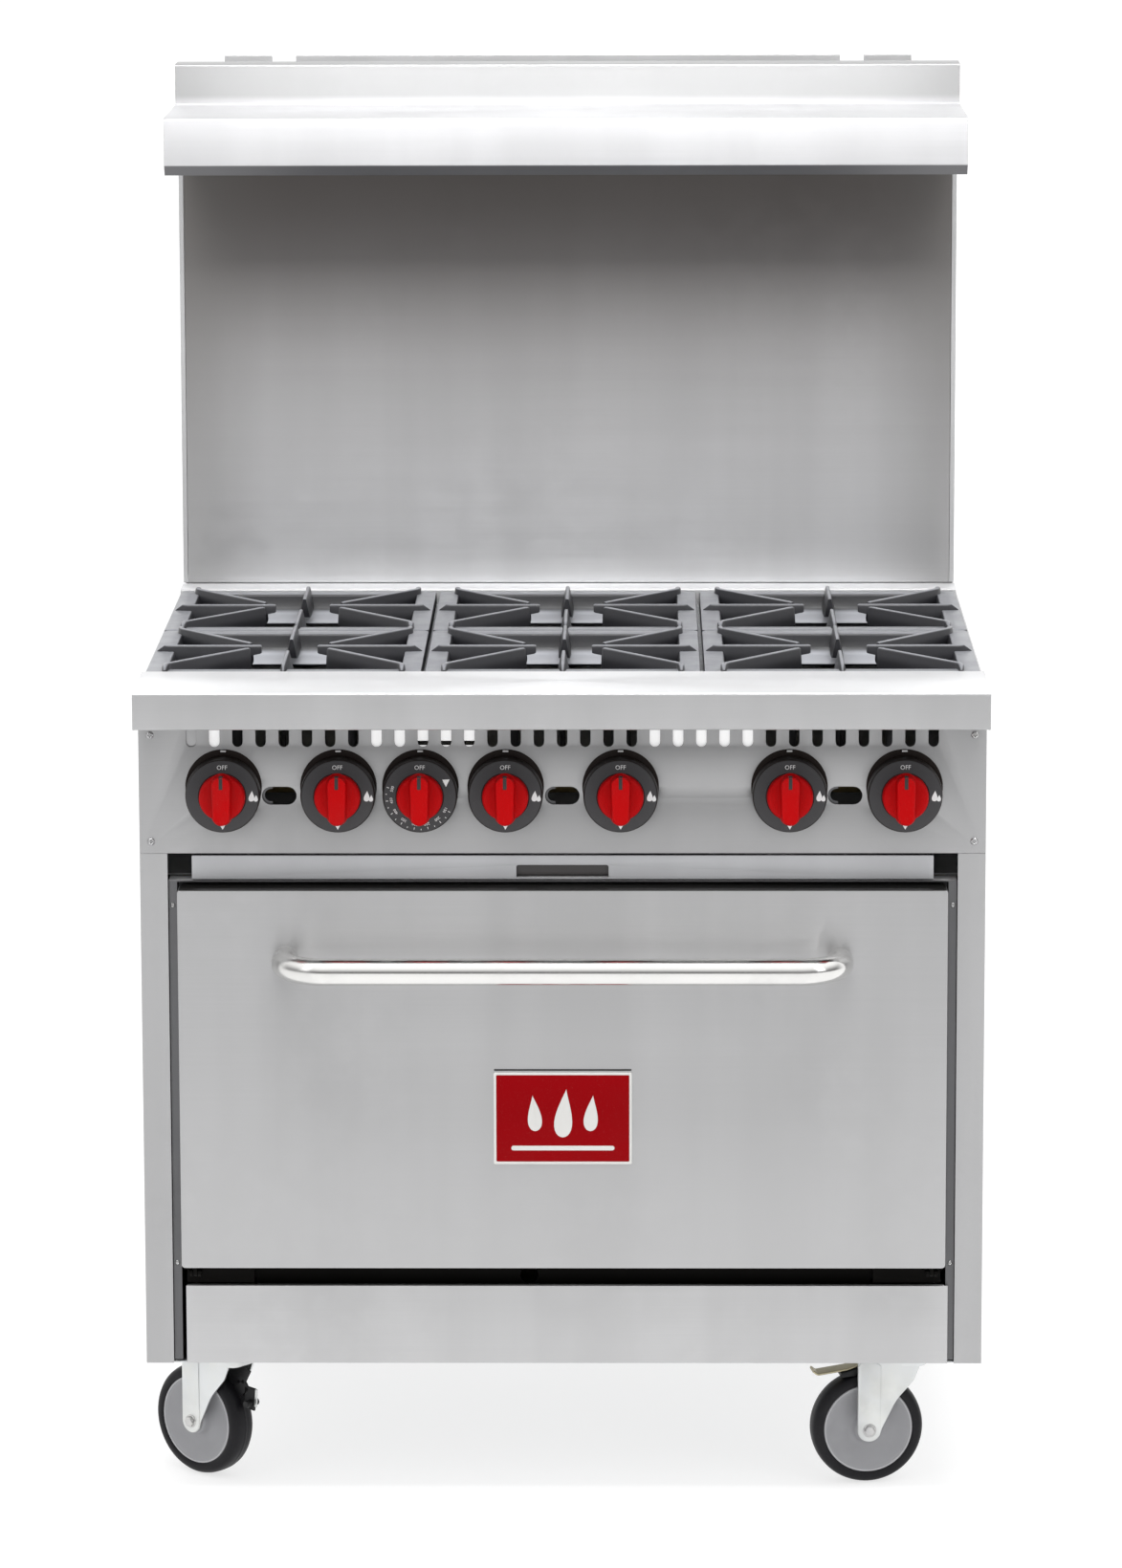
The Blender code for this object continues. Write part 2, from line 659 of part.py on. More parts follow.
def make_oven_burner():
    """A straight tube burner on two feet, with an open mouth at the front for the gas jet."""
    z, radius = 258.0, 16.0
    bar = rod((0.0, 48.0, z), (0.0, 560.0, z), radius, 14)
    mouth = rod((0.0, 40.0, z), (0.0, 80.0, z), radius - 4.0, 14)
    feet = [blocks([((-20.0, d, BODY_BOTTOM + SHEET + 2 * GAP), (20.0, d + 3.0, z))])
            for d in (120.0, 480.0)]
    fixed("oven_burner", cut(join(bar, *feet), mouth), IRON, sharp=40)


def make_gas_manifold():
    """The supply pipe behind the knobs with its six valves, three pilot tubes and rear inlet."""
    pipe_d, pipe_r, inlet_x = 62.0, 12.0, INLET_X
    bend = [(inlet_x - 30 + 30 * math.sin(a), pipe_d + 30 - 30 * math.cos(a), KNOB_Z)
            for a in np.radians(np.linspace(0, 90, 5))]
    pipe = tube([(-400.0, pipe_d, KNOB_Z), *bend, (inlet_x, BACK - 0.5, KNOB_Z)], pipe_r, 12)
    pieces = []
    for x in BURNER_KNOBS:
        pieces.append(blocks([((x - 11.0, 26.0, KNOB_Z - 11.0), (x + 11.0, 58.0, KNOB_Z + 11.0))]))
        pieces.append(rod((x, 60.0, KNOB_Z), (x, 84.0, KNOB_Z), 4.0, 6))
    for x in COLUMNS:
        pieces.append(tube([(x, pipe_d, KNOB_Z + 4.0), (x, pipe_d, KNOB_Z + 55.0),
                            (x, 150.0, KNOB_Z + 76.0)], 3.0, 5))
    bore = rod((inlet_x, BACK - 30.0, KNOB_Z), (inlet_x, BACK + 5.0, KNOB_Z), 9.0, 12)
    fixed("gas_manifold", cut(join(pipe, *pieces), bore), BRASS, sharp=40)


def make_oven_thermostat():
    x = OVEN_KNOB
    body = blocks([((x - 20.0, 26.0, KNOB_Z - 20.0), (x + 20.0, 47.0, KNOB_Z + 20.0)),
                   ((x - 8.0, 30.0, KNOB_Z - 45.0), (x + 8.0, 44.0, KNOB_Z - 19.0))])
    fixed("oven_thermostat", body, BRASS)


# Oven door, on its hinge axis.

HINGE = (0.0, HINGE_D, HINGE_Z)


def on_hinge(name, shape, look, sharp=None):
    node(name, about(shape, HINGE), look, HINGE, sharp=sharp)


def make_door():
    low, high = DOOR_Z
    outer = blocks([((-DOOR_HALF, DOOR_FRONT, low), (DOOR_HALF, 8.0, high))],
                   [((-DOOR_HALF + SHEET, DOOR_FRONT + SHEET, low + SHEET),
                     (DOOR_HALF - SHEET, 9.0, high - SHEET))])
    on_hinge("door_panel", outer, STEEL)
    half = DOOR_HALF - 2.0
    liner = blocks([((-half, 8.0 + GAP, low + 2.0), (half, DOOR_BACK, high - 2.0))],
                   [((-half + SHEET, 7.0, low + 2.0 + SHEET),
                     (half - SHEET, DOOR_BACK - SHEET, high - 2.0 - SHEET))])
    on_hinge("door_liner", liner, STEEL)


def make_door_handle():
    """A round bar with a quarter bend at each end that brings it back to the door face."""
    bend, face = 38.0, DOOR_FRONT - GAP
    x, d = HANDLE_HALF, HANDLE_D
    right = [(x - bend + p, d + bend + q, HANDLE_Z)
             for p, q in arc((0.0, 0.0), bend, -90, 0, 6)]
    left = [(-px, pd, pz) for px, pd, pz in right[::-1]]
    path = [(-x, face, HANDLE_Z), *left, *right, (x, face, HANDLE_Z)]
    on_hinge("door_handle", tube(path, HANDLE_R, 14), BRIGHT, sharp=50)


def make_door_badge():
    half_wide, half_tall, middle = 75.0, 51.0, 436.4
    on_hinge("door_badge", blocks([((-half_wide, DOOR_FRONT - GAP - 2.0, middle - half_tall),
                                    (half_wide, DOOR_FRONT - GAP, middle + half_tall))]), BADGE)


def hinge_bracket(side):
    """A fixed plate beside the sill that carries the hinge pin between two ears."""
    plate = blocks([mirrored(box, side) for box in (
        ((338.5, 8.0, 244.0), (412.0, 8.0 + SHEET, 265.5)),
        ((338.5, 8.0, 244.0), (340.0, 25.0, 265.5)),
        ((330.0, 18.3, 246.0), (340.0, 25.0, 263.0)),
    )])
    ear = (arc((HINGE_D, HINGE_Z), EYE, 90, 270, 5)
           + [(9.0, HINGE_Z - EYE), (9.0, HINGE_Z + EYE)])
    pieces = [prism(ear, "x", *sorted((side * a, side * b))) for a, b in EARS]
    pieces.append(rod((side * (EARS[0][0] - 1.0), HINGE_D, HINGE_Z),
                      (side * (EARS[1][1] + 1.0), HINGE_D, HINGE_Z), PIN, 8))
    return [plate, *pieces]


def make_hinge_bar():
    """The strip under the door, with a lug at each end that turns on the bracket's pin."""
    top = DOOR_Z[0] - GAP
    bar = blocks([((-DOOR_HALF + 3.0, -18.0, top - SHEET), (DOOR_HALF - 3.0, 14.0, top))])
    lug = arc((HINGE_D, HINGE_Z), EYE - 0.5, 180, 360, 5) + [(HINGE_D + 5.0, top - 0.5),
                                                             (HINGE_D - 5.0, top - 0.5)]
    lugs = [prism(lug, "x", *sorted((side * LUG[0], side * LUG[1]))) for side in (-1, 1)]
    holes = [rod((side * (LUG[0] - 5.0), HINGE_D, HINGE_Z), (side * (LUG[1] + 5.0), HINGE_D, HINGE_Z),
                 PIN + 0.5, 8) for side in (-1, 1)]
    on_hinge("door_hinge_bar", cut(join(bar, *lugs), *holes), ZINC)


def make_drip_tray():
    """A shallow pan with a taller front that has a slot for the fingers."""
    low, high = TRAY_Z
    front, rim, half = 3.0, 715.0, TRAY_HALF
    grip_half, grip_z = 49.8, (701.0, 711.5)
    solids = [
        ((-half, front, low), (half, front + 2.0, high)),
        ((-half, front, low + 1.0), (half, TRAY_BACK, rim)),
    ]
    voids = [
        ((-half + SHEET, front + 2.0, low + 1.0 + SHEET), (half - SHEET, TRAY_BACK - SHEET, high + 1)),
        ((-grip_half, front - 1.0, grip_z[0]), (grip_half, front + 2.5, grip_z[1])),
    ]
    origin = (0.0, front, low)
    node("drip_tray", about(blocks(solids, voids), origin), STEEL, origin)


# Knobs.

def knob_shape():
    """Skirt, drum, grip bar and the spindle that reaches back to the valve. Origin on the axis."""
    profile = [(0, 23.0), (4.0, 23.0), (4.0, -4.0), (40.5, -4.0), (40.5, -20.0), (39.0, -22.5),
               (26.0, -25.5), (25.0, -38.0), (0, -38.0)]
    body = turned(profile, "d", sides=20)
    grip = prism(arc((0.0, 20.0), 10.2, 0, 180, 3) + arc((0.0, -20.0), 9.0, 180, 360, 3),
                 "d", -50.0, -22.0)
    return join(body, grip)


def make_knobs():
    mesh = None
    names = [f"knob_burner_{k + 1}" for k in range(len(BURNER_KNOBS))] + ["knob_oven"]
    for name, x in zip(names, (*BURNER_KNOBS, OVEN_KNOB)):
        obj = node(name, knob_shape() if mesh is None else None, RED, (x, 0.0, KNOB_Z),
                   sharp=40, mesh=mesh)
        mesh = obj.data


# Casters. Their shapes run back along x from the swivel axis, in the direction the wheel trails.

def fork_shape():
    crown_low, crown_high, front, rear, axle_r = 138.0, 143.3, -27.0, 50.0, 13.0
    leg = ([(front, crown_high - 1.0), (front, 127.0)]
           + arc((TRAIL, WHEEL_R), axle_r, 210, 360, 5) + [(rear + 1.0, crown_high - 1.0)])
    legs = [prism(leg, "d", *sorted((s * FORK_IN, s * FORK_OUT))) for s in (-1, 1)]
    crown = blocks([((front, -FORK_OUT, crown_low), (rear, FORK_OUT, crown_high)),
                    ((front, -FORK_OUT, 134.5), (front + 3.0, FORK_OUT, crown_high))])
    race = turned([(0, crown_high - 1.0), (22, crown_high - 1.0), (26, 150.7), (0, 150.7)], "z",
                  sides=14)
    axle = turned([(0, -27.0), (8, -27.0), (8, -FORK_OUT + 1), (5, -FORK_OUT + 1),
                   (5, FORK_OUT - 1), (8, FORK_OUT - 1), (8, 27.0), (0, 27.0)],
                  "d", (TRAIL, 0.0, WHEEL_R), 10)
    return join(crown, *legs, race, axle)


def wheel_shape():
    return turned([(5.8, -18.5), (17, -18.5), (19, -8), (44, -8), (49.5, -14.5), (49.5, 14.5),
                   (44, 8), (19, 8), (17, 18.5), (5.8, 18.5)], "d", sides=16)


def tyre_shape():
    return turned([(50.5, -15), (59, -15), (WHEEL_R, -9), (WHEEL_R, 9), (59, 15), (50.5, 15)],
                  "d", sides=28)


def brake_shape(on_trailing_side):
    """A lever under the fork's crown, as seen from its pivot."""
    if on_trailing_side:
        outline = folded([(0.0, 3.0), (13.0, -2.0), (49.0, -6.0), (52.0, -2.5)], 3.0)
    else:
        outline = folded([(0.0, 2.0), (11.0, -17.0), (0.0, -32.0), (-15.0, -33.0), (-17.0, -29.5)],
                         3.0)
    return prism(outline, "d", -16.0, 16.0)


def make_casters():
    shared = {}
    for name, (x, d, angle) in CASTERS.items():
        turn = math.radians(angle)
        ahead = (math.cos(turn), math.sin(turn))
        centre = (x + TRAIL * ahead[0], d + TRAIL * ahead[1], WHEEL_R)
        for piece, shape, look, origin in (
            ("caster_fork", fork_shape, ZINC, (x, d, 0.0)),
            ("caster_wheel", wheel_shape, GREY, centre),
            ("caster_tyre", tyre_shape, RUBBER, centre),
        ):
            made = shared.get(piece)
            obj = node(f"{piece}_{name}", shape() if made is None else None, look, origin, turn,
                       sharp=35, mesh=made)
            shared[piece] = obj.data
        if name.startswith("front"):
            trailing = name == "front_right"
            reach, z = (48.0, 130.5) if trailing else (-22.0, 130.5)
            pivot = (x + reach * ahead[0], d + reach * ahead[1], z)
            node(f"brake_pedal_{name}", brake_shape(trailing), ZINC, pivot, turn)


def main():
    clear_scene()
    make_side_panel("side_panel_left", -1)
    make_side_panel("side_panel_right", 1)
    make_back_panel()
    make_base_panel()
    make_kick_panel()
    make_control_panel()
    make_front_rail()
    make_back_ledge()
    for name, x in zip(("left", "right"), (-1, 1)):
        make_grate_support(f"grate_support_{name}", x * (GRATE_WIDE + GRATE_GAP) / 2)
    make_grates()
    make_burners()
    make_riser()
    make_flue_duct()
    make_high_shelf()
    make_oven_cavity()
    make_oven_deck()
    make_oven_rack()
    make_oven_surround()
    make_oven_insulation()
    make_oven_burner()
    make_gas_manifold()
    make_oven_thermostat()
    make_door()
    make_door_handle()
    make_door_badge()
    make_hinge_bar()
    make_drip_tray()
    make_knobs()
    make_casters()


main()
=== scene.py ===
"""Looks of a six-burner commercial gas range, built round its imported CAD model.

Shapes are worked out in the range's own grid of millimetres: x to the right seen from the front,
d back from the front face of the control panel, z up from the floor.
"""

import json
import math

import bmesh
import bpy
import numpy as np
from mathutils import Euler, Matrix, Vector

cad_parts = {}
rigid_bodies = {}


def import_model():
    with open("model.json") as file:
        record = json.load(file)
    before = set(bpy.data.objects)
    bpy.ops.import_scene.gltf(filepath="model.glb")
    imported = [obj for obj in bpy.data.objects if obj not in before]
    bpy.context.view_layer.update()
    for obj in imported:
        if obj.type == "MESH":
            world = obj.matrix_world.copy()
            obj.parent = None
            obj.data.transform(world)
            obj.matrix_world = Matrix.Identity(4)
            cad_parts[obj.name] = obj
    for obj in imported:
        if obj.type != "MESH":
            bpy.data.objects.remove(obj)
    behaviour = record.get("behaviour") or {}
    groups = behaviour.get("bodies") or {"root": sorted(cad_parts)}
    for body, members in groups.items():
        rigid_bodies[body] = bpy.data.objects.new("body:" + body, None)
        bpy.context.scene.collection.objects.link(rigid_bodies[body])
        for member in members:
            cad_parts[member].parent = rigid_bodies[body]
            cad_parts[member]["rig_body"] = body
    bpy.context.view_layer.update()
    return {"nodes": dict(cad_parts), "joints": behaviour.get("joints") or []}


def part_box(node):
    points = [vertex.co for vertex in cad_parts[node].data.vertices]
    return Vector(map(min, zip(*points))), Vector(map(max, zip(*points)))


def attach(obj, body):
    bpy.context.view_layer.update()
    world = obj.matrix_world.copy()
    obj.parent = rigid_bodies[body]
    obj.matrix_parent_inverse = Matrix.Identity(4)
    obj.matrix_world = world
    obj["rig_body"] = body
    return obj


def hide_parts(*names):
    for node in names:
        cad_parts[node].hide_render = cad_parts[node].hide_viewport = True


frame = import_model()

MM = 0.001
FACE_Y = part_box("control_panel")[0].y
SHEET = 1.5
FINE = 1e-6
ROOT = "range_body"
FORWARDS, TO_BACK = (0.0, -1.0, 0.0), (0.0, 1.0, 0.0)

for leftover in [o for o in bpy.data.objects if o.type in ("CAMERA", "LIGHT") or o.name == "Cube"]:
    bpy.data.objects.remove(leftover)


# ---------------------------------------------------------------- surfaces

def extent(node):
    """Lowest and highest corner of a CAD node in the grid."""
    origin = np.array((0.0, FACE_Y, 0.0))
    low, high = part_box(node)
    return (np.array(low) - origin) / MM, (np.array(high) - origin) / MM


def surface(points, around=True, closed=False, capped=True):
    """Quads over a grid of points: row i is one ring, and column j runs round it."""
    rows, ring = points.shape[:2]
    index = np.arange(rows * ring).reshape(rows, ring)
    if around:
        index = np.hstack([index, index[:, :1]])
    if closed:
        index = np.vstack([index, index[:1]])
    corners = [index[:-1, :-1], index[:-1, 1:], index[1:, 1:], index[1:, :-1]]
    faces = np.stack(corners, -1).reshape(-1, 4).tolist()
    if capped and not closed:
        faces.append(list(range(ring))[::-1])
        faces.append(list(range((rows - 1) * ring, rows * ring)))
    return points.reshape(-1, 3), faces


def gathered(*shapes):
    """Several shapes as one: the points stacked, the face numbers moved up to match."""
    starts = np.cumsum([0] + [len(points) for points, _ in shapes])
    faces = [[start + k for k in face] for start, (_, some) in zip(starts, shapes) for face in some]
    return np.concatenate([points for points, _ in shapes]), faces


def moved(shape, offset):
    """The shape with an offset added to each point."""
    return np.asarray(shape[0], float) + np.asarray(offset, float), shape[1]


def turned_about_z(shape, angle, centre=(0.0, 0.0)):
    """The shape turned by an angle in radians about an upright axis, then moved to the centre."""
    c, s = math.cos(angle), math.sin(angle)
    turn = np.array([[c, -s, 0.0], [s, c, 0.0], [0.0, 0.0, 1.0]])
    return np.asarray(shape[0]) @ turn.T + (centre[0], centre[1], 0.0), shape[1]


def across(axis):
    """Two directions square to an axis and to each other."""
    axis = np.asarray(axis, float) / np.linalg.norm(axis)
    helper = (0.0, 0.0, 1.0) if abs(axis[2]) < 0.9 else (1.0, 0.0, 0.0)
    first = np.cross(helper, axis)
    first /= np.linalg.norm(first)
    return axis, first, np.cross(axis, first)


def lathe(profile, axis, centre, sides=48, start=0.0, closed=False):
    """P(i, a) = centre + h_i axis + r_i (cos a, sin a) for a profile of (r, h) pairs."""
    axis, first, second = across(axis)
    r, h = np.array(profile, float).T
    a = 2 * np.pi * (np.arange(sides) + start) / sides
    spoke = np.cos(a)[:, None] * first + np.sin(a)[:, None] * second
    points = np.asarray(centre, float) + h[:, None, None] * axis + r[:, None, None] * spoke[None]
    return surface(points, closed=closed, capped=not closed and r[0] > 0 and r[-1] > 0)


def rounded(path, radius, steps=5, loop=False):
    """A path whose corners are swapped for arcs that touch both runs, radius / tan(half the corner)
    away from the corner."""
    path = np.array(path, float)
    radii = np.broadcast_to(np.asarray(radius, float), (len(path),))
    corners = range(len(path)) if loop else range(1, len(path) - 1)
    made = [] if loop else [path[:1]]
    for k in corners:
        here, before, after = path[k], path[k - 1], path[(k + 1) % len(path)]
        u, v = before - here, after - here
        u, v = u / np.linalg.norm(u), v / np.linalg.norm(v)
        half = math.acos(np.clip(u.dot(v), -1, 1)) / 2
        if radii[k] <= 0 or half > 1.55:
            made.append(here[None])
            continue
        middle = (u + v) / np.linalg.norm(u + v)
        centre = here + middle * radii[k] / math.sin(half)
        turn = (math.pi / 2 - half) * np.linspace(-1, 1, steps + 1)
        side = (v - u) / np.linalg.norm(v - u)
        made.append(centre + radii[k] * (np.sin(turn)[:, None] * side
                                         - np.cos(turn)[:, None] * middle))
    if not loop:
        made.append(path[-1:])
    return np.concatenate(made)


def swept(path, section, closed=False, size=None, up=(0.0, 0.0, 1.0)):
    """A section (u, v) carried along a path: P(i, j) = path_i + s_i (u_j side_i + v_j rise_i)."""
    path, section = np.array(path, float), np.array(section, float)
    ahead = np.roll(path, -1, 0) - np.roll(path, 1, 0)
    if not closed:
        ahead[0], ahead[-1] = path[1] - path[0], path[-1] - path[-2]
    ahead /= np.linalg.norm(ahead, axis=1)[:, None]
    side = np.cross(ahead, np.asarray(up, float))
    side /= np.linalg.norm(side, axis=1)[:, None]
    rise = np.cross(side, ahead)
    size = np.ones(len(path)) if size is None else np.asarray(size, float)
    spread = (section[None, :, :1] * side[:, None] + section[None, :, 1:] * rise[:, None])
    return surface(path[:, None] + size[:, None, None] * spread, closed=closed)


def circle(radius, sides=16):
    """Points r (cos a, sin a) at equal steps of a whole turn."""
    a = 2 * np.pi * np.arange(sides) / sides
    return np.stack([radius * np.cos(a), radius * np.sin(a)], 1)


def arc(centre, radius, start, stop, steps):
    """Points centre + r (cos a, sin a) between two angles in degrees."""
    a = np.radians(np.linspace(start, stop, steps + 1))
    return np.array(centre, float) + radius * np.stack([np.cos(a), np.sin(a)], 1)


def rounded_rectangle(half_x, half_y, corner, steps=5):
    """Four quarter arcs of the corner radius, joined by straight runs."""
    corner = min(corner, half_x, half_y)
    signs = ((1, 1), (-1, 1), (-1, -1), (1, -1))
    return np.concatenate([
        arc((sx * (half_x - corner), sy * (half_y - corner)), corner, 90 * k, 90 * k + 90, steps)
        for k, (sx, sy) in enumerate(signs)])


def stood(flat, height, axis):
    """Plan points (u, v) at a height along x, d or z, the other two coordinates in order."""
    flat = np.asarray(flat, float)
    k = "xdz".index(axis)
    points = np.empty(flat.shape[:-1] + (3,))
    points[..., [a for a in range(3) if a != k]] = flat
    points[..., k] = height
    return points


def ringed(rings, axis, centre=(0.0, 0.0), steps=5, closed=False):
    """Rounded rectangles (half u, half v, corner, height) stacked as the rings of one surface."""
    made = [stood(rounded_rectangle(hu, hv, corner, steps) + centre, height, axis)
            for hu, hv, corner, height in rings]
    return surface(np.array(made), closed=closed)


def inset(outline, amount):
    """The outline moved inwards, each point along the mean of its two edge normals."""
    before, after = np.roll(outline, 1, 0), np.roll(outline, -1, 0)
    e1, e2 = outline - before, after - outline
    n1 = np.stack([-e1[:, 1], e1[:, 0]], 1)
    n2 = np.stack([-e2[:, 1], e2[:, 0]], 1)
    n1 /= np.linalg.norm(n1, axis=1)[:, None] + 1e-12
    n2 /= np.linalg.norm(n2, axis=1)[:, None] + 1e-12
    mean = n1 + n2
    length = (mean * mean).sum(1)[:, None]
    area = 0.5 * (outline[:, 0] * after[:, 1] - outline[:, 1] * after[:, 0]).sum()
    return outline + math.copysign(amount, area) * 2 * mean / np.maximum(length, 0.6)


def slab(outline, axis, low, high, edge=0.4, steps=3):
    """An outline given thickness, its edges rounded: inset e (1 - sin a), height e (1 - cos a)."""
    outline = np.array(outline, float)
    a = np.linspace(0, np.pi / 2, steps + 1)
    insets = edge * (1 - np.sin(a))
    rises = edge * (1 - np.cos(a))
    rings = [stood(inset(outline, i), low + r, axis) for i, r in zip(insets, rises)]
    rings += [stood(inset(outline, i), high - r, axis) for i, r in zip(insets[::-1], rises[::-1])]
    return surface(np.array(rings))


def block(low, high, edge=0.4, corner=None):
    """A box whose upright edges have a corner radius and whose others are rounded by edge."""
    low, high = np.array(low, float), np.array(high, float)
    half, middle = (high - low) / 2, (high + low) / 2
    corner = edge if corner is None else corner
    outline = rounded_rectangle(half[0], half[1], corner, 3) + middle[:2]
    return slab(outline, "z", low[2], high[2], edge)


def bent_sheet(path, low, high, thick=SHEET, bend=2.6, edge=0.3):
    """Sheet metal bent along a path in (d, z) and carried along x, its thickness to the left."""
    path = np.array(path, float)
    before, after = path[1:-1] - path[:-2], path[2:] - path[1:-1]
    left = before[:, 0] * after[:, 1] - before[:, 1] * after[:, 0] > 0
    radii = np.concatenate([[0.0], np.where(left, bend, bend - thick), [0.0]])
    line = rounded(path, radii, 4)
    runs = np.diff(line, axis=0)
    runs /= np.linalg.norm(runs, axis=1)[:, None]
    normal = np.stack([-runs[:, 1], runs[:, 0]], 1)
    normal = np.vstack([normal[:1], normal[:-1] + normal[1:], normal[-1:]])
    normal /= np.linalg.norm(normal, axis=1)[:, None]
    return slab(np.vstack([line, (line + thick * normal)[::-1]]), "x", low, high, edge)


def pierced(outline, holes, axis, low, high, edge=0.25):
    """A flat outline with holes, given thickness and a rounded rim, by way of a filled curve."""
    curve = bpy.data.curves.new("pierced", "CURVE")
    curve.dimensions = "2D"
    curve.fill_mode = "BOTH"
    curve.extrude = (high - low) / 2 - edge
    curve.bevel_depth = edge
    curve.bevel_resolution = 1
    curve.offset = -edge
    for ring in (outline, *holes):
        ring = np.array(ring, float)
        spline = curve.splines.new("POLY")
        spline.points.add(len(ring) - 1)
        rows = np.zeros((len(ring), 4))
        rows[:, :2], rows[:, 3] = ring, 1.0
        spline.points.foreach_set("co", rows.ravel())
        spline.use_cyclic_u = True
    shape = mesh_of(curve)
    return stood(shape[0][:, :2], (low + high) / 2 + shape[0][:, 2], axis), shape[1]


def mesh_of(curve):
    """Points and faces of a curve or lettering, which is then removed."""
    holder = bpy.data.objects.new("holder", curve)
    bpy.context.scene.collection.objects.link(holder)
    bpy.context.view_layer.update()
    mesh = holder.evaluated_get(bpy.context.evaluated_depsgraph_get()).to_mesh()
    points = np.empty(len(mesh.vertices) * 3)
    mesh.vertices.foreach_get("co", points)
    faces = [list(p.vertices) for p in mesh.polygons]
    bpy.data.objects.remove(holder)
    bpy.data.curves.remove(curve)
    return points.reshape(-1, 3), faces


def lettering(words, height, depth):
    """Plain words lying in the u v plane, centred on nought, with a depth."""
    curve = bpy.data.curves.new("words", "FONT")
    curve.body = words
    curve.size = height / 0.7
    curve.align_x, curve.align_y = "CENTER", "CENTER"
    curve.extrude = depth / 2
    curve.resolution_u = 2
    return mesh_of(curve)


def piece(name, shape, material, body=ROOT, stands_for=(), sharp=35.0, bevel=0.0):
    """Puts a shape of the grid into the scene as one piece on a body."""
    points, faces = shape
    points = np.asarray(points, float) * MM + (0.0, FACE_Y, 0.0)
    mesh = bpy.data.meshes.new(name)
    mesh.from_pydata(points.tolist(), [], faces)
    finish_mesh(mesh, sharp)
    mesh.materials.append(material)
    obj = bpy.data.objects.new(name, mesh)
    bpy.context.scene.collection.objects.link(obj)
    return settle(obj, body, stands_for, bevel)


def finish_mesh(mesh, sharp, flat=0.0):
    """Merges doubled points, melts flat joins, turns faces outward, and shades smooth but for bends
    sharper than an angle in degrees."""
    work = bmesh.new()
    work.from_mesh(mesh)
    bmesh.ops.remove_doubles(work, verts=work.verts, dist=FINE)
    bmesh.ops.dissolve_degenerate(work, edges=work.edges, dist=FINE / 2)
    if flat:
        bmesh.ops.dissolve_limit(work, angle_limit=flat, verts=work.verts, edges=work.edges)
    bmesh.ops.recalc_face_normals(work, faces=work.faces)
    work.to_mesh(mesh)
    work.free()
    mesh.shade_smooth()
    mesh.set_sharp_from_angle(angle=math.radians(sharp))


def settle(obj, body, stands_for, bevel):
    """Breaks the edges by a bevel in millimetres and tells the frame which body the piece rides."""
    if bevel:
        edges = obj.modifiers.new("broken_edges", "BEVEL")
        edges.width = bevel * MM
        edges.segments = 2
        edges.limit_method = "ANGLE"
        edges.angle_limit = math.radians(35)
        edges.harden_normals = True
    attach(obj, body)
    if stands_for:
        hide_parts(*stands_for)
    return obj


def dressed(node, material, bevel=0.35, sharp=35.0):
    """A merged copy of a CAD node with its edges broken, standing for the node."""
    source = frame["nodes"][node]
    mesh = source.data.copy()
    mesh.materials.clear()
    mesh.materials.append(material)
    if mesh.has_custom_normals:
        mesh.attributes.remove(mesh.attributes["custom_normal"])
    finish_mesh(mesh, sharp, flat=math.radians(0.5))
    obj = bpy.data.objects.new(f"{node}_finished", mesh)
    bpy.context.scene.collection.objects.link(obj)
    return settle(obj, source["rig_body"], (node,), bevel)


def paint_low_faces(obj, material, height):
    """Gives the faces whose middle lies below a height in metres a second finish."""
    mesh = obj.data
    mesh.materials.append(material)
    middles = np.empty(len(mesh.polygons) * 3)
    mesh.polygons.foreach_get("center", middles)
    low = (middles.reshape(-1, 3)[:, 2] < height).astype(np.int32)
    mesh.polygons.foreach_set("material_index", low)


def screw_head(centre, axis, radius=4.2, height=2.0):
    """A pan head with a cross recess: a dome h (1 - (r/R)^4), less a cross whose arms are narrow
    where |u| or |v| is small and which fades out past 0.6 R."""
    axis, first, second = across(axis)
    r = np.array([0.0, 0.1, 0.2, 0.3, 0.4, 0.5, 0.58, 0.66, 0.78, 0.9, 0.97, 1.0]) * radius
    a = 2 * np.pi * np.arange(48) / 48
    u, v = r[:, None] * np.cos(a), r[:, None] * np.sin(a)
    arm = 1 / (1 + (np.minimum(abs(u), abs(v)) / (0.13 * radius)) ** 6)
    reach = 1 / (1 + (r[:, None] / (0.58 * radius)) ** 10)
    h = height * (1 - (r[:, None] / radius) ** 4) - 0.75 * height * arm * reach
    flat = np.asarray(centre, float) + u[..., None] * first + v[..., None] * second
    rim_foot = flat[-1:] - 0.3 * axis
    return surface(np.concatenate([flat + h[..., None] * axis, rim_foot]), capped=False)


def hexagon_head(centre, axis, across_flats, height, flange=0.0):
    """A six-sided head with a domed top, on a round flange."""
    r = across_flats / math.sqrt(3)
    shapes = [lathe([(0, height), (r * 0.82, height), (r, height - r * 0.12), (r, 0)],
                    axis, centre, 6)]
    if flange:
        shapes.append(lathe([(0, 1.2), (flange - 0.8, 1.2), (flange, 0.5), (flange, -0.2)],
                            axis, centre, 24))
    return gathered(*shapes)


# ---------------------------------------------------------------- finishes

def new_group(name, inputs, outputs):
    """A shader node group with float or vector inputs, and its input and output nodes."""
    group = bpy.data.node_groups.new(name, "ShaderNodeTree")
    kinds = {"v": "NodeSocketVector", "f": "NodeSocketFloat", "c": "NodeSocketColor"}
    for label, kind, value in inputs:
        socket = group.interface.new_socket(label, in_out="INPUT", socket_type=kinds[kind])
        socket.default_value = value
    for label, kind in outputs:
        group.interface.new_socket(label, in_out="OUTPUT", socket_type=kinds[kind])
    return group, group.nodes.new("NodeGroupInput"), group.nodes.new("NodeGroupOutput")


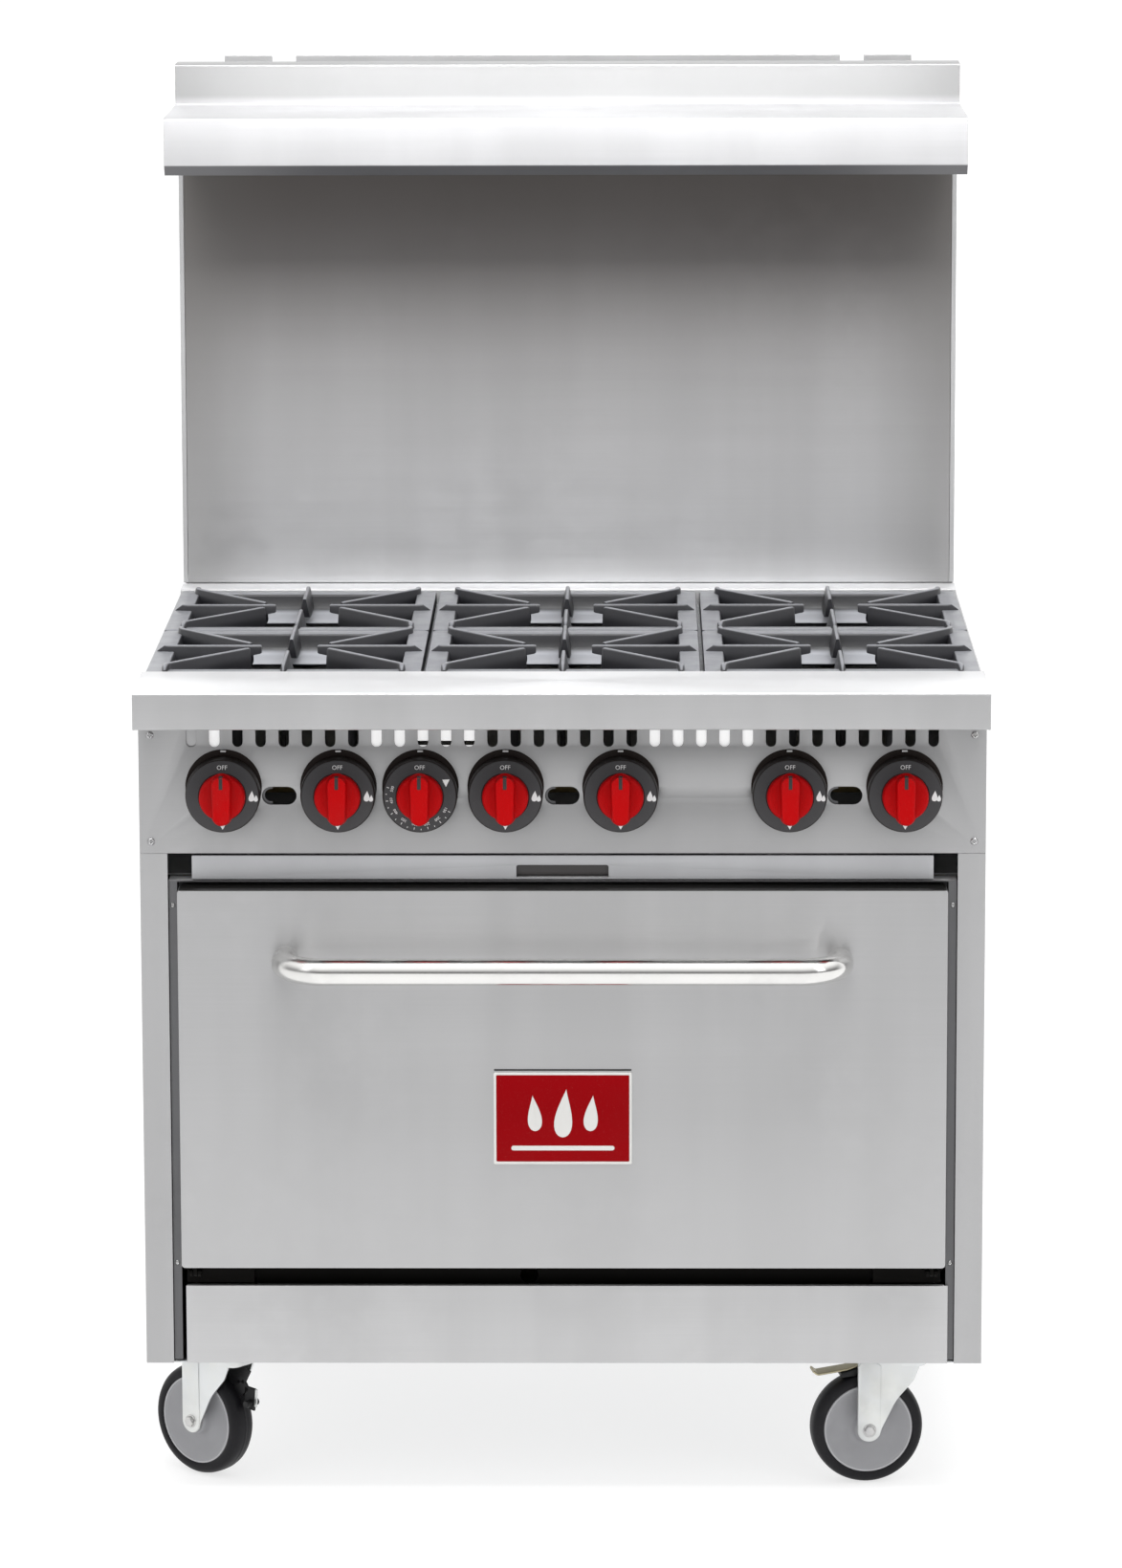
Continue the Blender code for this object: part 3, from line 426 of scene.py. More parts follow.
def math_node(tree, operation, first, second=None, third=None):
    """A Math node between sockets or plain numbers."""
    node = tree.nodes.new("ShaderNodeMath")
    node.operation = operation
    for socket, value in zip(node.inputs, (first, second, third)):
        if value is None:
            continue
        if isinstance(value, bpy.types.NodeSocket):
            tree.links.new(value, socket)
        else:
            socket.default_value = value
    return node.outputs[0]


def noise(tree, vector, scale, detail=2.0, rough=0.5):
    """Soft noise of a scale in cells per metre, on a vector."""
    node = tree.nodes.new("ShaderNodeTexNoise")
    node.inputs["Scale"].default_value = scale
    node.inputs["Detail"].default_value = detail
    node.inputs["Roughness"].default_value = rough
    tree.links.new(vector, node.inputs["Vector"])
    return node.outputs["Fac"]


def spread(tree, value, low, high, to_low=0.0, to_high=1.0):
    """A value taken smoothly from one range to another, and held past both ends."""
    node = tree.nodes.new("ShaderNodeMapRange")
    node.interpolation_type = "SMOOTHSTEP"
    for label, number in (("From Min", low), ("From Max", high), ("To Min", to_low),
                          ("To Max", to_high)):
        node.inputs[label].default_value = number
    tree.links.new(value, node.inputs["Value"])
    return node.outputs["Result"]


def mixed(tree, factor, first, second):
    """Two colours mixed by a factor."""
    node = tree.nodes.new("ShaderNodeMix")
    node.data_type = "RGBA"
    for socket, value in ((node.inputs["Factor"], factor), (node.inputs[6], first),
                          (node.inputs[7], second)):
        if isinstance(value, bpy.types.NodeSocket):
            tree.links.new(value, socket)
        else:
            socket.default_value = value
    return node.outputs[2]


def make_grain_group():
    """Streaks of a brushed sheet: noise stretched by Stretch, in two sizes, with rare scratches and
    the soft upright bands that rolling leaves."""
    group, start, end = new_group(
        "brushed_grain", [("Vector", "v", (0, 0, 0)), ("Stretch", "v", (12, 900, 900))],
        [("Streak", "f"), ("Scratch", "f"), ("Band", "f")])
    scaled = group.nodes.new("ShaderNodeVectorMath")
    scaled.operation = "MULTIPLY"
    group.links.new(start.outputs["Vector"], scaled.inputs[0])
    group.links.new(start.outputs["Stretch"], scaled.inputs[1])
    vector = scaled.outputs[0]
    fine = noise(group, vector, 1.0, 3.0, 0.6)
    broad = noise(group, vector, 0.22, 2.0, 0.5)
    streak = math_node(group, "MULTIPLY_ADD", fine, 0.65, math_node(group, "MULTIPLY", broad, 0.35))
    group.links.new(streak, end.inputs["Streak"])
    rare = spread(group, noise(group, vector, 0.6, 1.0), 0.66, 0.74)
    group.links.new(rare, end.inputs["Scratch"])
    tall = group.nodes.new("ShaderNodeMapping")
    tall.inputs["Scale"].default_value = (11.0, 11.0, 0.7)
    group.links.new(start.outputs["Vector"], tall.inputs["Vector"])
    group.links.new(spread(group, noise(group, tall.outputs[0], 1.0, 3.0), 0.35, 0.65),
                    end.inputs["Band"])
    return group


def make_handling_group():
    """Finger marks and wiped patches: two sizes of soft noise, and fine dust specks."""
    group, start, end = new_group(
        "handling_marks", [("Vector", "v", (0, 0, 0))], [("Smudge", "f"), ("Dust", "f")])
    vector = start.outputs["Vector"]
    large = noise(group, vector, 5.0, 4.0, 0.55)
    small = noise(group, vector, 38.0, 3.0, 0.5)
    smudge = math_node(group, "MULTIPLY", spread(group, large, 0.42, 0.68),
                       spread(group, small, 0.30, 0.62))
    group.links.new(smudge, end.inputs["Smudge"])
    specks = spread(group, noise(group, vector, 1500.0, 1.0), 0.70, 0.78)
    group.links.new(specks, end.inputs["Dust"])
    return group


def make_casting_group():
    """Skin of a sand casting: fine pits over a slow unevenness, in patches."""
    group, start, end = new_group(
        "casting_skin", [("Vector", "v", (0, 0, 0))], [("Height", "f"), ("Patch", "f")])
    vector = start.outputs["Vector"]
    pits = noise(group, vector, 900.0, 3.0, 0.65)
    waves = noise(group, vector, 90.0, 3.0, 0.5)
    waves = math_node(group, "MULTIPLY", waves, 0.8)
    group.links.new(math_node(group, "MULTIPLY_ADD", pits, 0.6, waves), end.inputs["Height"])
    patches = spread(group, noise(group, vector, 22.0, 4.0, 0.6), 0.35, 0.7)
    group.links.new(patches, end.inputs["Patch"])
    return group


def make_edge_group():
    """Edges rubbed bright: how sharply the surface bends outwards there."""
    group, _, end = new_group("rubbed_edges", [], [("Edge", "f")])
    geometry = group.nodes.new("ShaderNodeNewGeometry")
    group.links.new(spread(group, geometry.outputs["Pointiness"], 0.52, 0.60), end.inputs["Edge"])
    return group


def make_upward_group():
    """Faces that look up, by the height of the object's own normal."""
    group, _, end = new_group("upward_faces", [], [("Top", "f")])
    split = group.nodes.new("ShaderNodeSeparateXYZ")
    group.links.new(group.nodes.new("ShaderNodeTexCoord").outputs["Normal"], split.inputs[0])
    group.links.new(spread(group, split.outputs["Z"], 0.55, 0.95), end.inputs["Top"])
    return group


def make_mould_group():
    """Grain of moulded plastic or rubber: cell noise and a slow shine change."""
    group, start, end = new_group(
        "moulded_grain", [("Vector", "v", (0, 0, 0)), ("Scale", "f", 1400.0)],
        [("Height", "f"), ("Shine", "f")])
    cells = group.nodes.new("ShaderNodeTexVoronoi")
    group.links.new(start.outputs["Vector"], cells.inputs["Vector"])
    group.links.new(start.outputs["Scale"], cells.inputs["Scale"])
    group.links.new(cells.outputs["Distance"], end.inputs["Height"])
    group.links.new(noise(group, start.outputs["Vector"], 60.0, 3.0), end.inputs["Shine"])
    return group


GRAIN = make_grain_group()
HANDLING = make_handling_group()
CASTING = make_casting_group()
EDGES = make_edge_group()
UPWARD = make_upward_group()
MOULD = make_mould_group()


class Finish:
    """A Principled material with Object coordinates and a place for each group."""

    def __init__(self, name, colour, roughness, metallic, **constants):
        self.material = bpy.data.materials.new(name)
        self.material.use_nodes = True
        self.tree = self.material.node_tree
        self.shader = self.tree.nodes["Principled BSDF"]
        self.colour = (*colour, 1.0)
        self.shader.inputs["Base Color"].default_value = self.colour
        self.shader.inputs["Roughness"].default_value = roughness
        self.shader.inputs["Metallic"].default_value = metallic
        for label, value in constants.items():
            self.shader.inputs[label.replace("_", " ")].default_value = value
        self.roughness = roughness
        self.vector = self.tree.nodes.new("ShaderNodeTexCoord").outputs["Object"]

    def place(self, axis):
        """Where a point of the range lies along an axis, in metres."""
        split = self.tree.nodes.new("ShaderNodeSeparateXYZ")
        self.tree.links.new(self.vector, split.inputs[0])
        return split.outputs[axis]

    def use(self, group, **values):
        """The outputs of a node group set in this material, with some inputs given values."""
        node = self.tree.nodes.new("ShaderNodeGroup")
        node.node_tree = group
        if "Vector" in node.inputs:
            self.tree.links.new(self.vector, node.inputs["Vector"])
        for label, value in values.items():
            node.inputs[label].default_value = value
        return node.outputs

    def paint(self, factor, second, amount=1.0):
        """Base Color mixed towards a second colour by a mask."""
        if amount != 1.0:
            factor = math_node(self.tree, "MULTIPLY", factor, amount)
        socket = self.shader.inputs["Base Color"]
        first = socket.links[0].from_socket if socket.is_linked else self.colour
        self.tree.links.new(mixed(self.tree, factor, first, (*second, 1.0)), socket)

    def dull(self, factor, amount):
        """Metallic taken down by a mask times an amount."""
        socket = self.shader.inputs["Metallic"]
        self.tree.links.new(math_node(self.tree, "MULTIPLY_ADD", factor, -amount,
                                      socket.default_value), socket)

    def shine(self, factor, change):
        """Roughness moved by a mask times a change."""
        socket = self.shader.inputs["Roughness"]
        first = socket.links[0].from_socket if socket.is_linked else self.roughness
        self.tree.links.new(math_node(self.tree, "MULTIPLY_ADD", factor, change, first), socket)

    def bump(self, height, distance, strength=1.0):
        """A bump added over those already there, its full height a distance in metres."""
        node = self.tree.nodes.new("ShaderNodeBump")
        node.inputs["Distance"].default_value = distance
        node.inputs["Strength"].default_value = strength
        socket = self.shader.inputs["Normal"]
        if socket.is_linked:
            self.tree.links.new(socket.links[0].from_socket, node.inputs["Normal"])
        self.tree.links.new(height, node.inputs["Height"])
        self.tree.links.new(node.outputs["Normal"], socket)


def brushed_steel(name, stretch, colour=(0.47, 0.47, 0.475), roughness=0.33, drawn=0.7, painted_top_light=0.5):
    """Sheet brushed along its grain, so that reflections are drawn out square to it, with a painted
    highlight on the faces that look up, which are painted pale and made less metallic."""
    finish = Finish(name, colour, roughness, 1.0, Anisotropic=drawn, Anisotropic_Rotation=0.25)
    grain = finish.use(GRAIN, Stretch=stretch)
    marks = finish.use(HANDLING)
    top = finish.use(UPWARD)["Top"]
    finish.paint(grain["Streak"], tuple(c * 1.25 for c in colour), 0.55)
    finish.paint(grain["Band"], tuple(c * 0.92 for c in colour), 0.45)
    finish.paint(marks["Smudge"], tuple(c * 0.88 for c in colour), 0.16)
    # Painted highlight: faces that look up are painted pale and made less metallic.
    finish.paint(top, (0.80, 0.805, 0.815), painted_top_light)
    finish.dull(top, 0.72 * painted_top_light)
    finish.shine(grain["Streak"], 0.14)
    finish.shine(marks["Smudge"], 0.03)
    finish.bump(grain["Streak"], 0.00004, 0.35)
    finish.bump(grain["Scratch"], 0.00003, 0.3)
    return finish


def tone_between(finish, low, high, colour, amount, axis="Z"):
    """A second colour that comes in between two places of the range along an axis, in metres. The
    uses below mostly paint light and shade into a part's colour with it.
    """
    finish.paint(spread(finish.tree, finish.place(axis), low, high), colour, amount)
    return finish


def riser_steel():
    """Brushed sheet in a lighter grey than the body steel, as painted light, painted darker upwards
    towards the shelf as painted shade, and darker towards both sides.
    """
    foot, head, clear, edge = 0.91, 1.41, 0.34, 0.45
    finish = brushed_steel("steel_riser", ACROSS, (0.60, 0.60, 0.61))
    # Painted shade: darker upwards from the riser's foot to under the shelf.
    tone_between(finish, foot, head, (0.085, 0.074, 0.068), 0.92)
    # Darker towards both sides.
    for side in (-1, 1):
        tone_between(finish, side * clear, side * edge, (0.16, 0.155, 0.15), 0.5, "X")
    return finish.material


def galvanised_steel():
    """Spangle of cells, each with its own grey, under a dull coat."""
    finish = Finish("galvanised_sheet", (0.46, 0.47, 0.48), 0.42, 1.0)
    cells = finish.tree.nodes.new("ShaderNodeTexVoronoi")
    cells.inputs["Scale"].default_value = 70.0
    finish.tree.links.new(finish.vector, cells.inputs["Vector"])
    split = finish.tree.nodes.new("ShaderNodeSeparateColor")
    finish.tree.links.new(cells.outputs["Color"], split.inputs["Color"])
    finish.paint(split.outputs["Red"], (0.62, 0.64, 0.66), 0.5)
    finish.shine(split.outputs["Green"], 0.12)
    marks = finish.use(HANDLING)
    finish.paint(marks["Smudge"], (0.34, 0.34, 0.34), 0.5)
    finish.bump(cells.outputs["Distance"], 0.00005, 0.2)
    return finish.material


def cast_iron(name, colour, roughness=0.34, plate=0.0, **constants):
    """Black iron painted paler where it looks up, by the amount of plate: a painted highlight on
    the upward faces.
    """
    finish = Finish(name, colour, roughness, 0.0, **constants)
    skin = finish.use(CASTING)
    finish.paint(skin["Patch"], tuple(c * 1.35 for c in colour), 0.6)
    if plate:
        # Painted highlight: upward faces painted pale grey.
        finish.paint(finish.use(UPWARD)["Top"], (0.42, 0.43, 0.46), plate)
    finish.shine(skin["Patch"], 0.12)
    finish.bump(skin["Height"], 0.00022, 0.55)
    return finish


def moulding(name, colour, roughness, scale=1400.0, depth=0.00003, edge=None, **constants):
    """Moulded plastic or rubber: fine cells, soft marks and dust, and paler rubbed edges."""
    finish = Finish(name, colour, roughness, 0.0, **constants)
    grain = finish.use(MOULD, Scale=scale)
    marks = finish.use(HANDLING)
    finish.paint(marks["Smudge"], tuple(min(1.0, c * 0.8 + 0.01) for c in colour), 0.5)
    finish.paint(marks["Dust"], (0.55, 0.54, 0.52), 0.10)
    if edge:
        finish.paint(finish.use(EDGES)["Edge"], edge, 0.5)
    finish.shine(grain["Shine"], 0.12)
    finish.bump(grain["Height"], depth, 0.5)
    return finish


def plastic(*settings, **constants):
    """The material of a moulding that takes no second colour."""
    return moulding(*settings, **constants).material


def plated(name, colour, roughness, tint=(0.75, 0.72, 0.58)):
    """Zinc or nickel plate: cloudy tint, fine draw marks."""
    finish = Finish(name, colour, roughness, 1.0)
    skin = finish.use(CASTING)
    marks = finish.use(HANDLING)
    finish.paint(skin["Patch"], tint, 0.18)
    finish.paint(marks["Smudge"], tuple(c * 0.7 for c in colour), 0.35)
    finish.shine(marks["Smudge"], 0.15)
    finish.bump(skin["Height"], 0.00003, 0.4)
    return finish.material


def enamel():
    """Glassy dark enamel with pale specks, browned and dulled in patches by baking."""
    finish = Finish("dark_enamel", (0.022, 0.026, 0.036), 0.22, 0.0, Coat_Weight=0.4)
    specks = spread(finish.tree, noise(finish.tree, finish.vector, 700.0, 1.0), 0.66, 0.72)
    finish.paint(specks, (0.35, 0.37, 0.40), 0.8)
    marks = finish.use(HANDLING)
    finish.paint(marks["Smudge"], (0.05, 0.04, 0.03), 0.5)
    finish.shine(marks["Smudge"], 0.25)
    finish.bump(noise(finish.tree, finish.vector, 160.0, 2.0), 0.0002, 0.3)
    return finish.material


def mineral_wool():
    """Yellowish matted fibre, darker in tufts."""
    finish = Finish("matted_wool", (0.55, 0.47, 0.28), 0.95, 0.0)
    fibre = noise(finish.tree, finish.vector, 420.0, 8.0, 0.75)
    tufts = noise(finish.tree, finish.vector, 45.0, 4.0)
    finish.paint(spread(finish.tree, fibre, 0.35, 0.65), (0.74, 0.68, 0.48), 0.8)
    finish.paint(spread(finish.tree, tufts, 0.5, 0.7), (0.38, 0.31, 0.18), 0.5)
    finish.bump(fibre, 0.002, 0.8)
    return finish.material


def gas_pipe():
    """Painted pipe, with brass where the valves stand in front of it."""
    finish = Finish("pipe_and_brass", (0.06, 0.06, 0.062), 0.40, 0.7)
    behind = FACE_Y + 59.5 * MM
    brass = math_node(finish.tree, "LESS_THAN", finish.place("Y"), behind)
    skin = finish.use(CASTING)
    finish.paint(skin["Patch"], (0.10, 0.095, 0.09), 0.6)
    finish.paint(brass, (0.56, 0.43, 0.20))
    finish.shine(skin["Patch"], 0.15)
    finish.bump(skin["Height"], 0.0001, 0.4)
    return finish.material


ACROSS = (9.0, 1500.0, 1500.0)
BACKWARDS = (1500.0, 9.0, 1500.0)
COARSE = (30.0, 700.0, 700.0)
DULL_GREY = (0.155, 0.155, 0.16)
DEEP_SHADE = (0.012, 0.011, 0.010)
SHELF_TOP, LIP_FOOT = 1.480, 1.4265
SILL_TOP = 0.266
DOOR_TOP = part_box("door_panel")[1].z
GRATE_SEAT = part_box("grate_front_centre")[1].z - 24.0 * MM
COLLAR_RIM = FACE_Y - 22.2 * MM

STEEL_X = brushed_steel("steel_grain_across", ACROSS).material
STEEL_PANEL = brushed_steel("steel_fine_grain", ACROSS, (0.42, 0.42, 0.425), 0.38, 0.5).material
STEEL_RAIL = brushed_steel("steel_rail", ACROSS, painted_top_light=0.62).material
# Door steel painted lighter towards its foot as painted light, with a painted shade line along its
# top edge.
STEEL_DOOR = tone_between(tone_between(brushed_steel("steel_door", ACROSS, (0.45, 0.45, 0.455)),
                           0.62, 0.28, (0.60, 0.60, 0.605), 0.5),
                    DOOR_TOP - 1.4 * MM, DOOR_TOP - 0.6 * MM, DEEP_SHADE, 0.96).material
# Kick panel steel in a lighter grey than the body steel, as painted light.
STEEL_KICK = brushed_steel("steel_kick", ACROSS, (0.56, 0.56, 0.565)).material
# Tray steel painted near-black behind the front sheet, in the pocket seen through the finger slot,
# as painted shade.
STEEL_TRAY = tone_between(brushed_steel("steel_tray", ACROSS, (0.52, 0.525, 0.54)),
                    FACE_Y + 9.0 * MM, FACE_Y + 11.0 * MM, (0.05, 0.043, 0.040), 0.85,
                    "Y").material
# Shelf steel painted dark on the hem below the lip as painted shade, and a darker grey above the
# shelf's top face.
STEEL_SHELF = tone_between(tone_between(brushed_steel("steel_shelf", ACROSS, (0.56, 0.56, 0.57), painted_top_light=0.18),
                            LIP_FOOT, LIP_FOOT - 0.002, (0.10, 0.10, 0.105), 0.85),
                     SHELF_TOP, SHELF_TOP + 0.012, (0.34, 0.34, 0.34), 0.75).material
STEEL_Y = brushed_steel("steel_grain_back", BACKWARDS).material
STEEL_DULL = brushed_steel("steel_dull", COARSE, DULL_GREY, 0.42, painted_top_light=0.9).material
STEEL_PAN = tone_between(brushed_steel("steel_door_pan", COARSE, DULL_GREY, 0.42),
                   DOOR_TOP - 1.6 * MM, DOOR_TOP - 0.8 * MM, DEEP_SHADE, 0.96).material
STEEL_DARK = brushed_steel("steel_in_shade", COARSE, (0.010, 0.0095, 0.009), 0.42,
                           painted_top_light=0.0).material
STEEL_RISER = riser_steel()
GALVANISED = galvanised_steel()
ENAMEL = enamel()
# Grate iron with its painted highlight on upward faces, and a dark grey painted over the bars above
# the seat, which takes that highlight off their tops and lightens their flanks as painted light.
IRON = tone_between(cast_iron("grate_iron", (0.008, 0.008, 0.010), plate=0.8, Specular_IOR_Level=0.4),
              GRATE_SEAT + 6.0 * MM, GRATE_SEAT + 16.0 * MM, (0.045, 0.045, 0.050), 0.5).material
IRON_DARK = cast_iron("burner_iron", (0.020, 0.020, 0.022), 0.6).material
POLISHED = plated("polished_bar", (0.79, 0.785, 0.77), 0.13, (0.82, 0.81, 0.79))
CHROME_WIRE = plated("rack_wire", (0.70, 0.70, 0.71), 0.18)
ZINC = plated("zinc_plate", (0.69, 0.705, 0.71), 0.36)
ZINC_WARM = plated("zinc_warm", (0.52, 0.47, 0.33), 0.35, (0.65, 0.52, 0.30))
BOLT = plated("bolt_plate", (0.55, 0.55, 0.56), 0.28)
RED = plastic("grip_red", (0.42, 0.001, 0.002), 0.36, edge=(0.56, 0.02, 0.025),
              Specular_IOR_Level=0.06)
# Skirt grey with its collar wall behind the rim painted near-black brown, as painted shade.
SKIRT = tone_between(moulding("skirt_grey", (0.040, 0.039, 0.042), 0.36, edge=(0.10, 0.10, 0.10),
                        Specular_IOR_Level=0.35),
               COLLAR_RIM, COLLAR_RIM + 0.8 * MM, (0.012, 0.007, 0.005), 0.9, "Y").material
# Dark brown discs on the panel behind the knobs, a painted shade and reflection of them.
KNOB_SHADE_DISC = plastic("knob_shade_brown", (0.016, 0.010, 0.008), 0.5, Specular_IOR_Level=0.2)
MARKS = plastic("mark_white", (0.78, 0.78, 0.78), 0.45)
# Black for grooves and bores, as painted shade.
RECESS_SHADE_BLACK = plastic("recess_shade_black", (0.016, 0.012, 0.012), 0.45)
BADGE_RED = plastic("badge_red", (0.29, 0.0006, 0.003), 0.42, depth=0.00001,
                    Specular_IOR_Level=0.05)
BADGE_WHITE = plastic("badge_white", (0.74, 0.73, 0.71), 0.40, depth=0.00001)
# Pale white that glows by emission, as painted light seen through the vent slots.
VENT_PAINTED_LIGHT = plastic("vent_glow_white", (0.86, 0.86, 0.86), 0.6, Emission_Color=(1.0, 1.0, 1.0, 1.0),
                  Emission_Strength=0.45)
# Matte black for holes and a shadow line, as painted shade.
SHADE_BLACK_MATTE = plastic("painted_shade_matte_black", (0.004, 0.004, 0.004), 0.9, Specular_IOR_Level=0.0)
NYLON = plastic("wheel_nylon", (0.33, 0.33, 0.345), 0.48, 900.0, 0.00005)
# A paler copy of the wheel nylon for the rim beads, as a painted highlight.
NYLON_PALE = plastic("wheel_nylon_rim", (0.50, 0.50, 0.515), 0.45, 900.0, 0.00004)
RUBBER = plastic("tyre_rubber", (0.007, 0.0065, 0.0085), 0.40, 700.0, 0.00008,
                 Specular_IOR_Level=0.22)
BLACK = plastic("brake_black", (0.009, 0.009, 0.010), 0.40, Specular_IOR_Level=0.3)
WOOL = mineral_wool()
PIPE = gas_pipe()


# ---------------------------------------------------------------- body panels

def make_body():
    """The folded sheets, the oven box and the pipework, from their CAD solids."""
    dressed("side_panel_left", STEEL_Y)
    dressed("side_panel_right", STEEL_Y)
    dressed("back_panel", GALVANISED, 0.3)
    dressed("base_panel", GALVANISED, 0.3)
    dressed("kick_panel", STEEL_KICK)
    for node in ("grate_support_left", "grate_support_right"):
        dressed(node, GALVANISED, 0.3)
    dressed("riser_panel", STEEL_RISER, 0.2)
    dressed("flue_duct", STEEL_X, 0.3)
    surround = dressed("oven_surround", STEEL_DULL, 0.3)
    paint_low_faces(surround, STEEL_DARK, SILL_TOP)
    dressed("oven_cavity", ENAMEL, 0.6)
    dressed("oven_deck", ENAMEL, 0.4)
    dressed("oven_insulation", WOOL, 2.0)
    dressed("gas_manifold", PIPE, 0.0, 40.0)
    dressed("oven_thermostat", PIPE, 0.6)
    dressed("door_hinge_bar", STEEL_DARK, 0.25)


SLOT_PITCH = 25.0
SLOTS = 33
KNOB_Z = 792.0
BURNER_KNOBS = (-365.5, -241.5, -61.0, 63.0, 245.0, 369.0)
OVEN_KNOB = -153.0
# Slots behind which painted light glows; the barred ones have a gap across it.
SLOTS_SHOWING_LIGHT = (1, 8, 9, 10, 11, 12, 20, 21, 22, 23, 24)
BARRED_SLOTS = (10, 11, 12)
PILOTS = ((-305.5, 788.5), (0.0, 788.5), (305.0, 788.5))
PILOT_REACH, PILOT_TALL = 8.9, 9.8


def half_front(low, high):
    """Half the width and half the height of a box seen from the front."""
    return (high[0] - low[0]) / 2, (high[2] - low[2]) / 2


def obround(centre, reach, radius, upright, steps=10):
    """Two half circles a reach either side of the centre."""
    offset = np.array((0.0, reach) if upright else (reach, 0.0))
    turn = 0 if upright else -90
    return np.vstack([arc(np.array(centre) + offset, radius, turn, turn + 180, steps),
                      arc(np.array(centre) - offset, radius, turn + 180, turn + 360, steps)])


def make_control_panel():
    """A sheet pierced by vent slots, pilot sights and shaft holes, with its foot turned back."""
    low, high = extent("control_panel")
    outline = [(low[0], low[2]), (high[0], low[2]), (high[0], high[2]), (low[0], high[2])]
    slots = [obround(((k - (SLOTS - 1) / 2) * SLOT_PITCH, 862.0), 14.4, 5.6, True)
             for k in range(SLOTS)]
    sights = [obround(place, PILOT_REACH, PILOT_TALL, False) for place in PILOTS]
    shafts = [arc((x, KNOB_Z), 6.0, 0, 337.5, 15) for x in (*BURNER_KNOBS, OVEN_KNOB)]
    sheet = pierced(outline, [*slots, *sights, *shafts], "d", 0.0, SHEET)
    flange = block((-427.0, 0.9, low[2]), (427.0, high[1], low[2] + SHEET), 0.3)
    piece("control_panel_sheet", gathered(sheet, flange), STEEL_PANEL,
          stands_for=("control_panel",), sharp=30)
    make_vent_light_strips()
    lips = []
    for x, z in PILOTS:
        bend = stood(arc((x - PILOT_REACH, z), PILOT_TALL - 0.4, 80, 280, 16), 4.0, "d")
        lips.append(swept(bend, rounded_rectangle(2.6, 0.4, 0.3, 2), up=TO_BACK))
    piece("pilot_sight_lips", gathered(*lips), STEEL_DULL)


def make_vent_light_strips():
    """Strips behind some vent slots that glow by emission, as painted light seen through the slots,
    and a steel sheet behind the first slot.
    """
    shapes = []
    for k in SLOTS_SHOWING_LIGHT:
        x = (k - (SLOTS - 1) / 2) * SLOT_PITCH
        spans = ((838.0, 843.4), (848.2, 890.0)) if k in BARRED_SLOTS else ((838.0, 890.0),)
        shapes += [block((x - 9.0, 3.2, a), (x + 9.0, 4.0, b), 0.2) for a, b in spans]
    piece("vent_backing_strips", gathered(*shapes), VENT_PAINTED_LIGHT)
    x = -(SLOTS - 1) / 2 * SLOT_PITCH
    sheet = block((x - 9.0, 1.8, 838.0), (x + 9.0, 2.6, 890.0), 0.2)
    piece("vent_backing_sheet", sheet, STEEL_PANEL)


def make_rail():
    """The landing rail with its end caps, and the ledge strip behind the grates."""
    low, high = extent("front_rail")
    seat, back = 896.0, 62.0
    front, top, hem = low[1], high[2], low[2]
    path = [(high[1], seat), (back, seat), (back, top), (front, top), (front, hem),
            (front + 17.0, hem)]
    inner = high[0] - 1.6
    outline = rounded([(front, hem), (-0.4, hem), (-0.4, 905.4), (back, 905.4), (back, top),
                       (front, top)], [1.0, 1.0, 0.5, 1.0, 2.0, 2.6], 4, loop=True)
    shapes = [bent_sheet(path, -inner, inner)]
    for side in (-1, 1):
        a, b = sorted((side * (inner - 0.8), side * high[0]))
        shapes.append(slab(outline, "x", a, b, 0.7))
    piece("front_rail_folded", gathered(*shapes), STEEL_RAIL,
          stands_for=("front_rail",))
    low, high = extent("back_ledge")
    path = [(high[1], high[2] - 14.0), (high[1], high[2]), (630.0, high[2]), (630.0, seat),
            (low[1], seat)]
    piece("back_ledge_folded", bent_sheet(path, low[0], high[0], bend=2.0), STEEL_RAIL,
          stands_for=("back_ledge",))


def make_shelf():
    """The shelf folded up into its upstand and down into its lip, with a gusset at each end."""
    low, high = extent("high_shelf")
    shelf, lip, back = 1480.0, 1426.0, 673.5
    path = [(high[1], high[2]), (back, high[2]), (back, shelf), (low[1], shelf), (low[1], lip),
            (low[1] + 9.0, lip - 12.0)]
    shapes = [bent_sheet(path, low[0], high[0])]
    outline = rounded([(low[1] + 0.4, shelf - 0.6), (low[1] + 0.4, lip + 1.0),
                       (back + 0.5, shelf - 24.0), (back + 0.5, shelf - 0.6)], 2.0, 4, loop=True)
    for side in (-1, 1):
        a, b = sorted((side * (high[0] - SHEET), side * (high[0] - 0.05)))
        shapes.append(slab(outline, "x", a, b, 0.3))
    piece("high_shelf_folded", gathered(*shapes), STEEL_SHELF,
          stands_for=("high_shelf",))


# ---------------------------------------------------------------- oven door

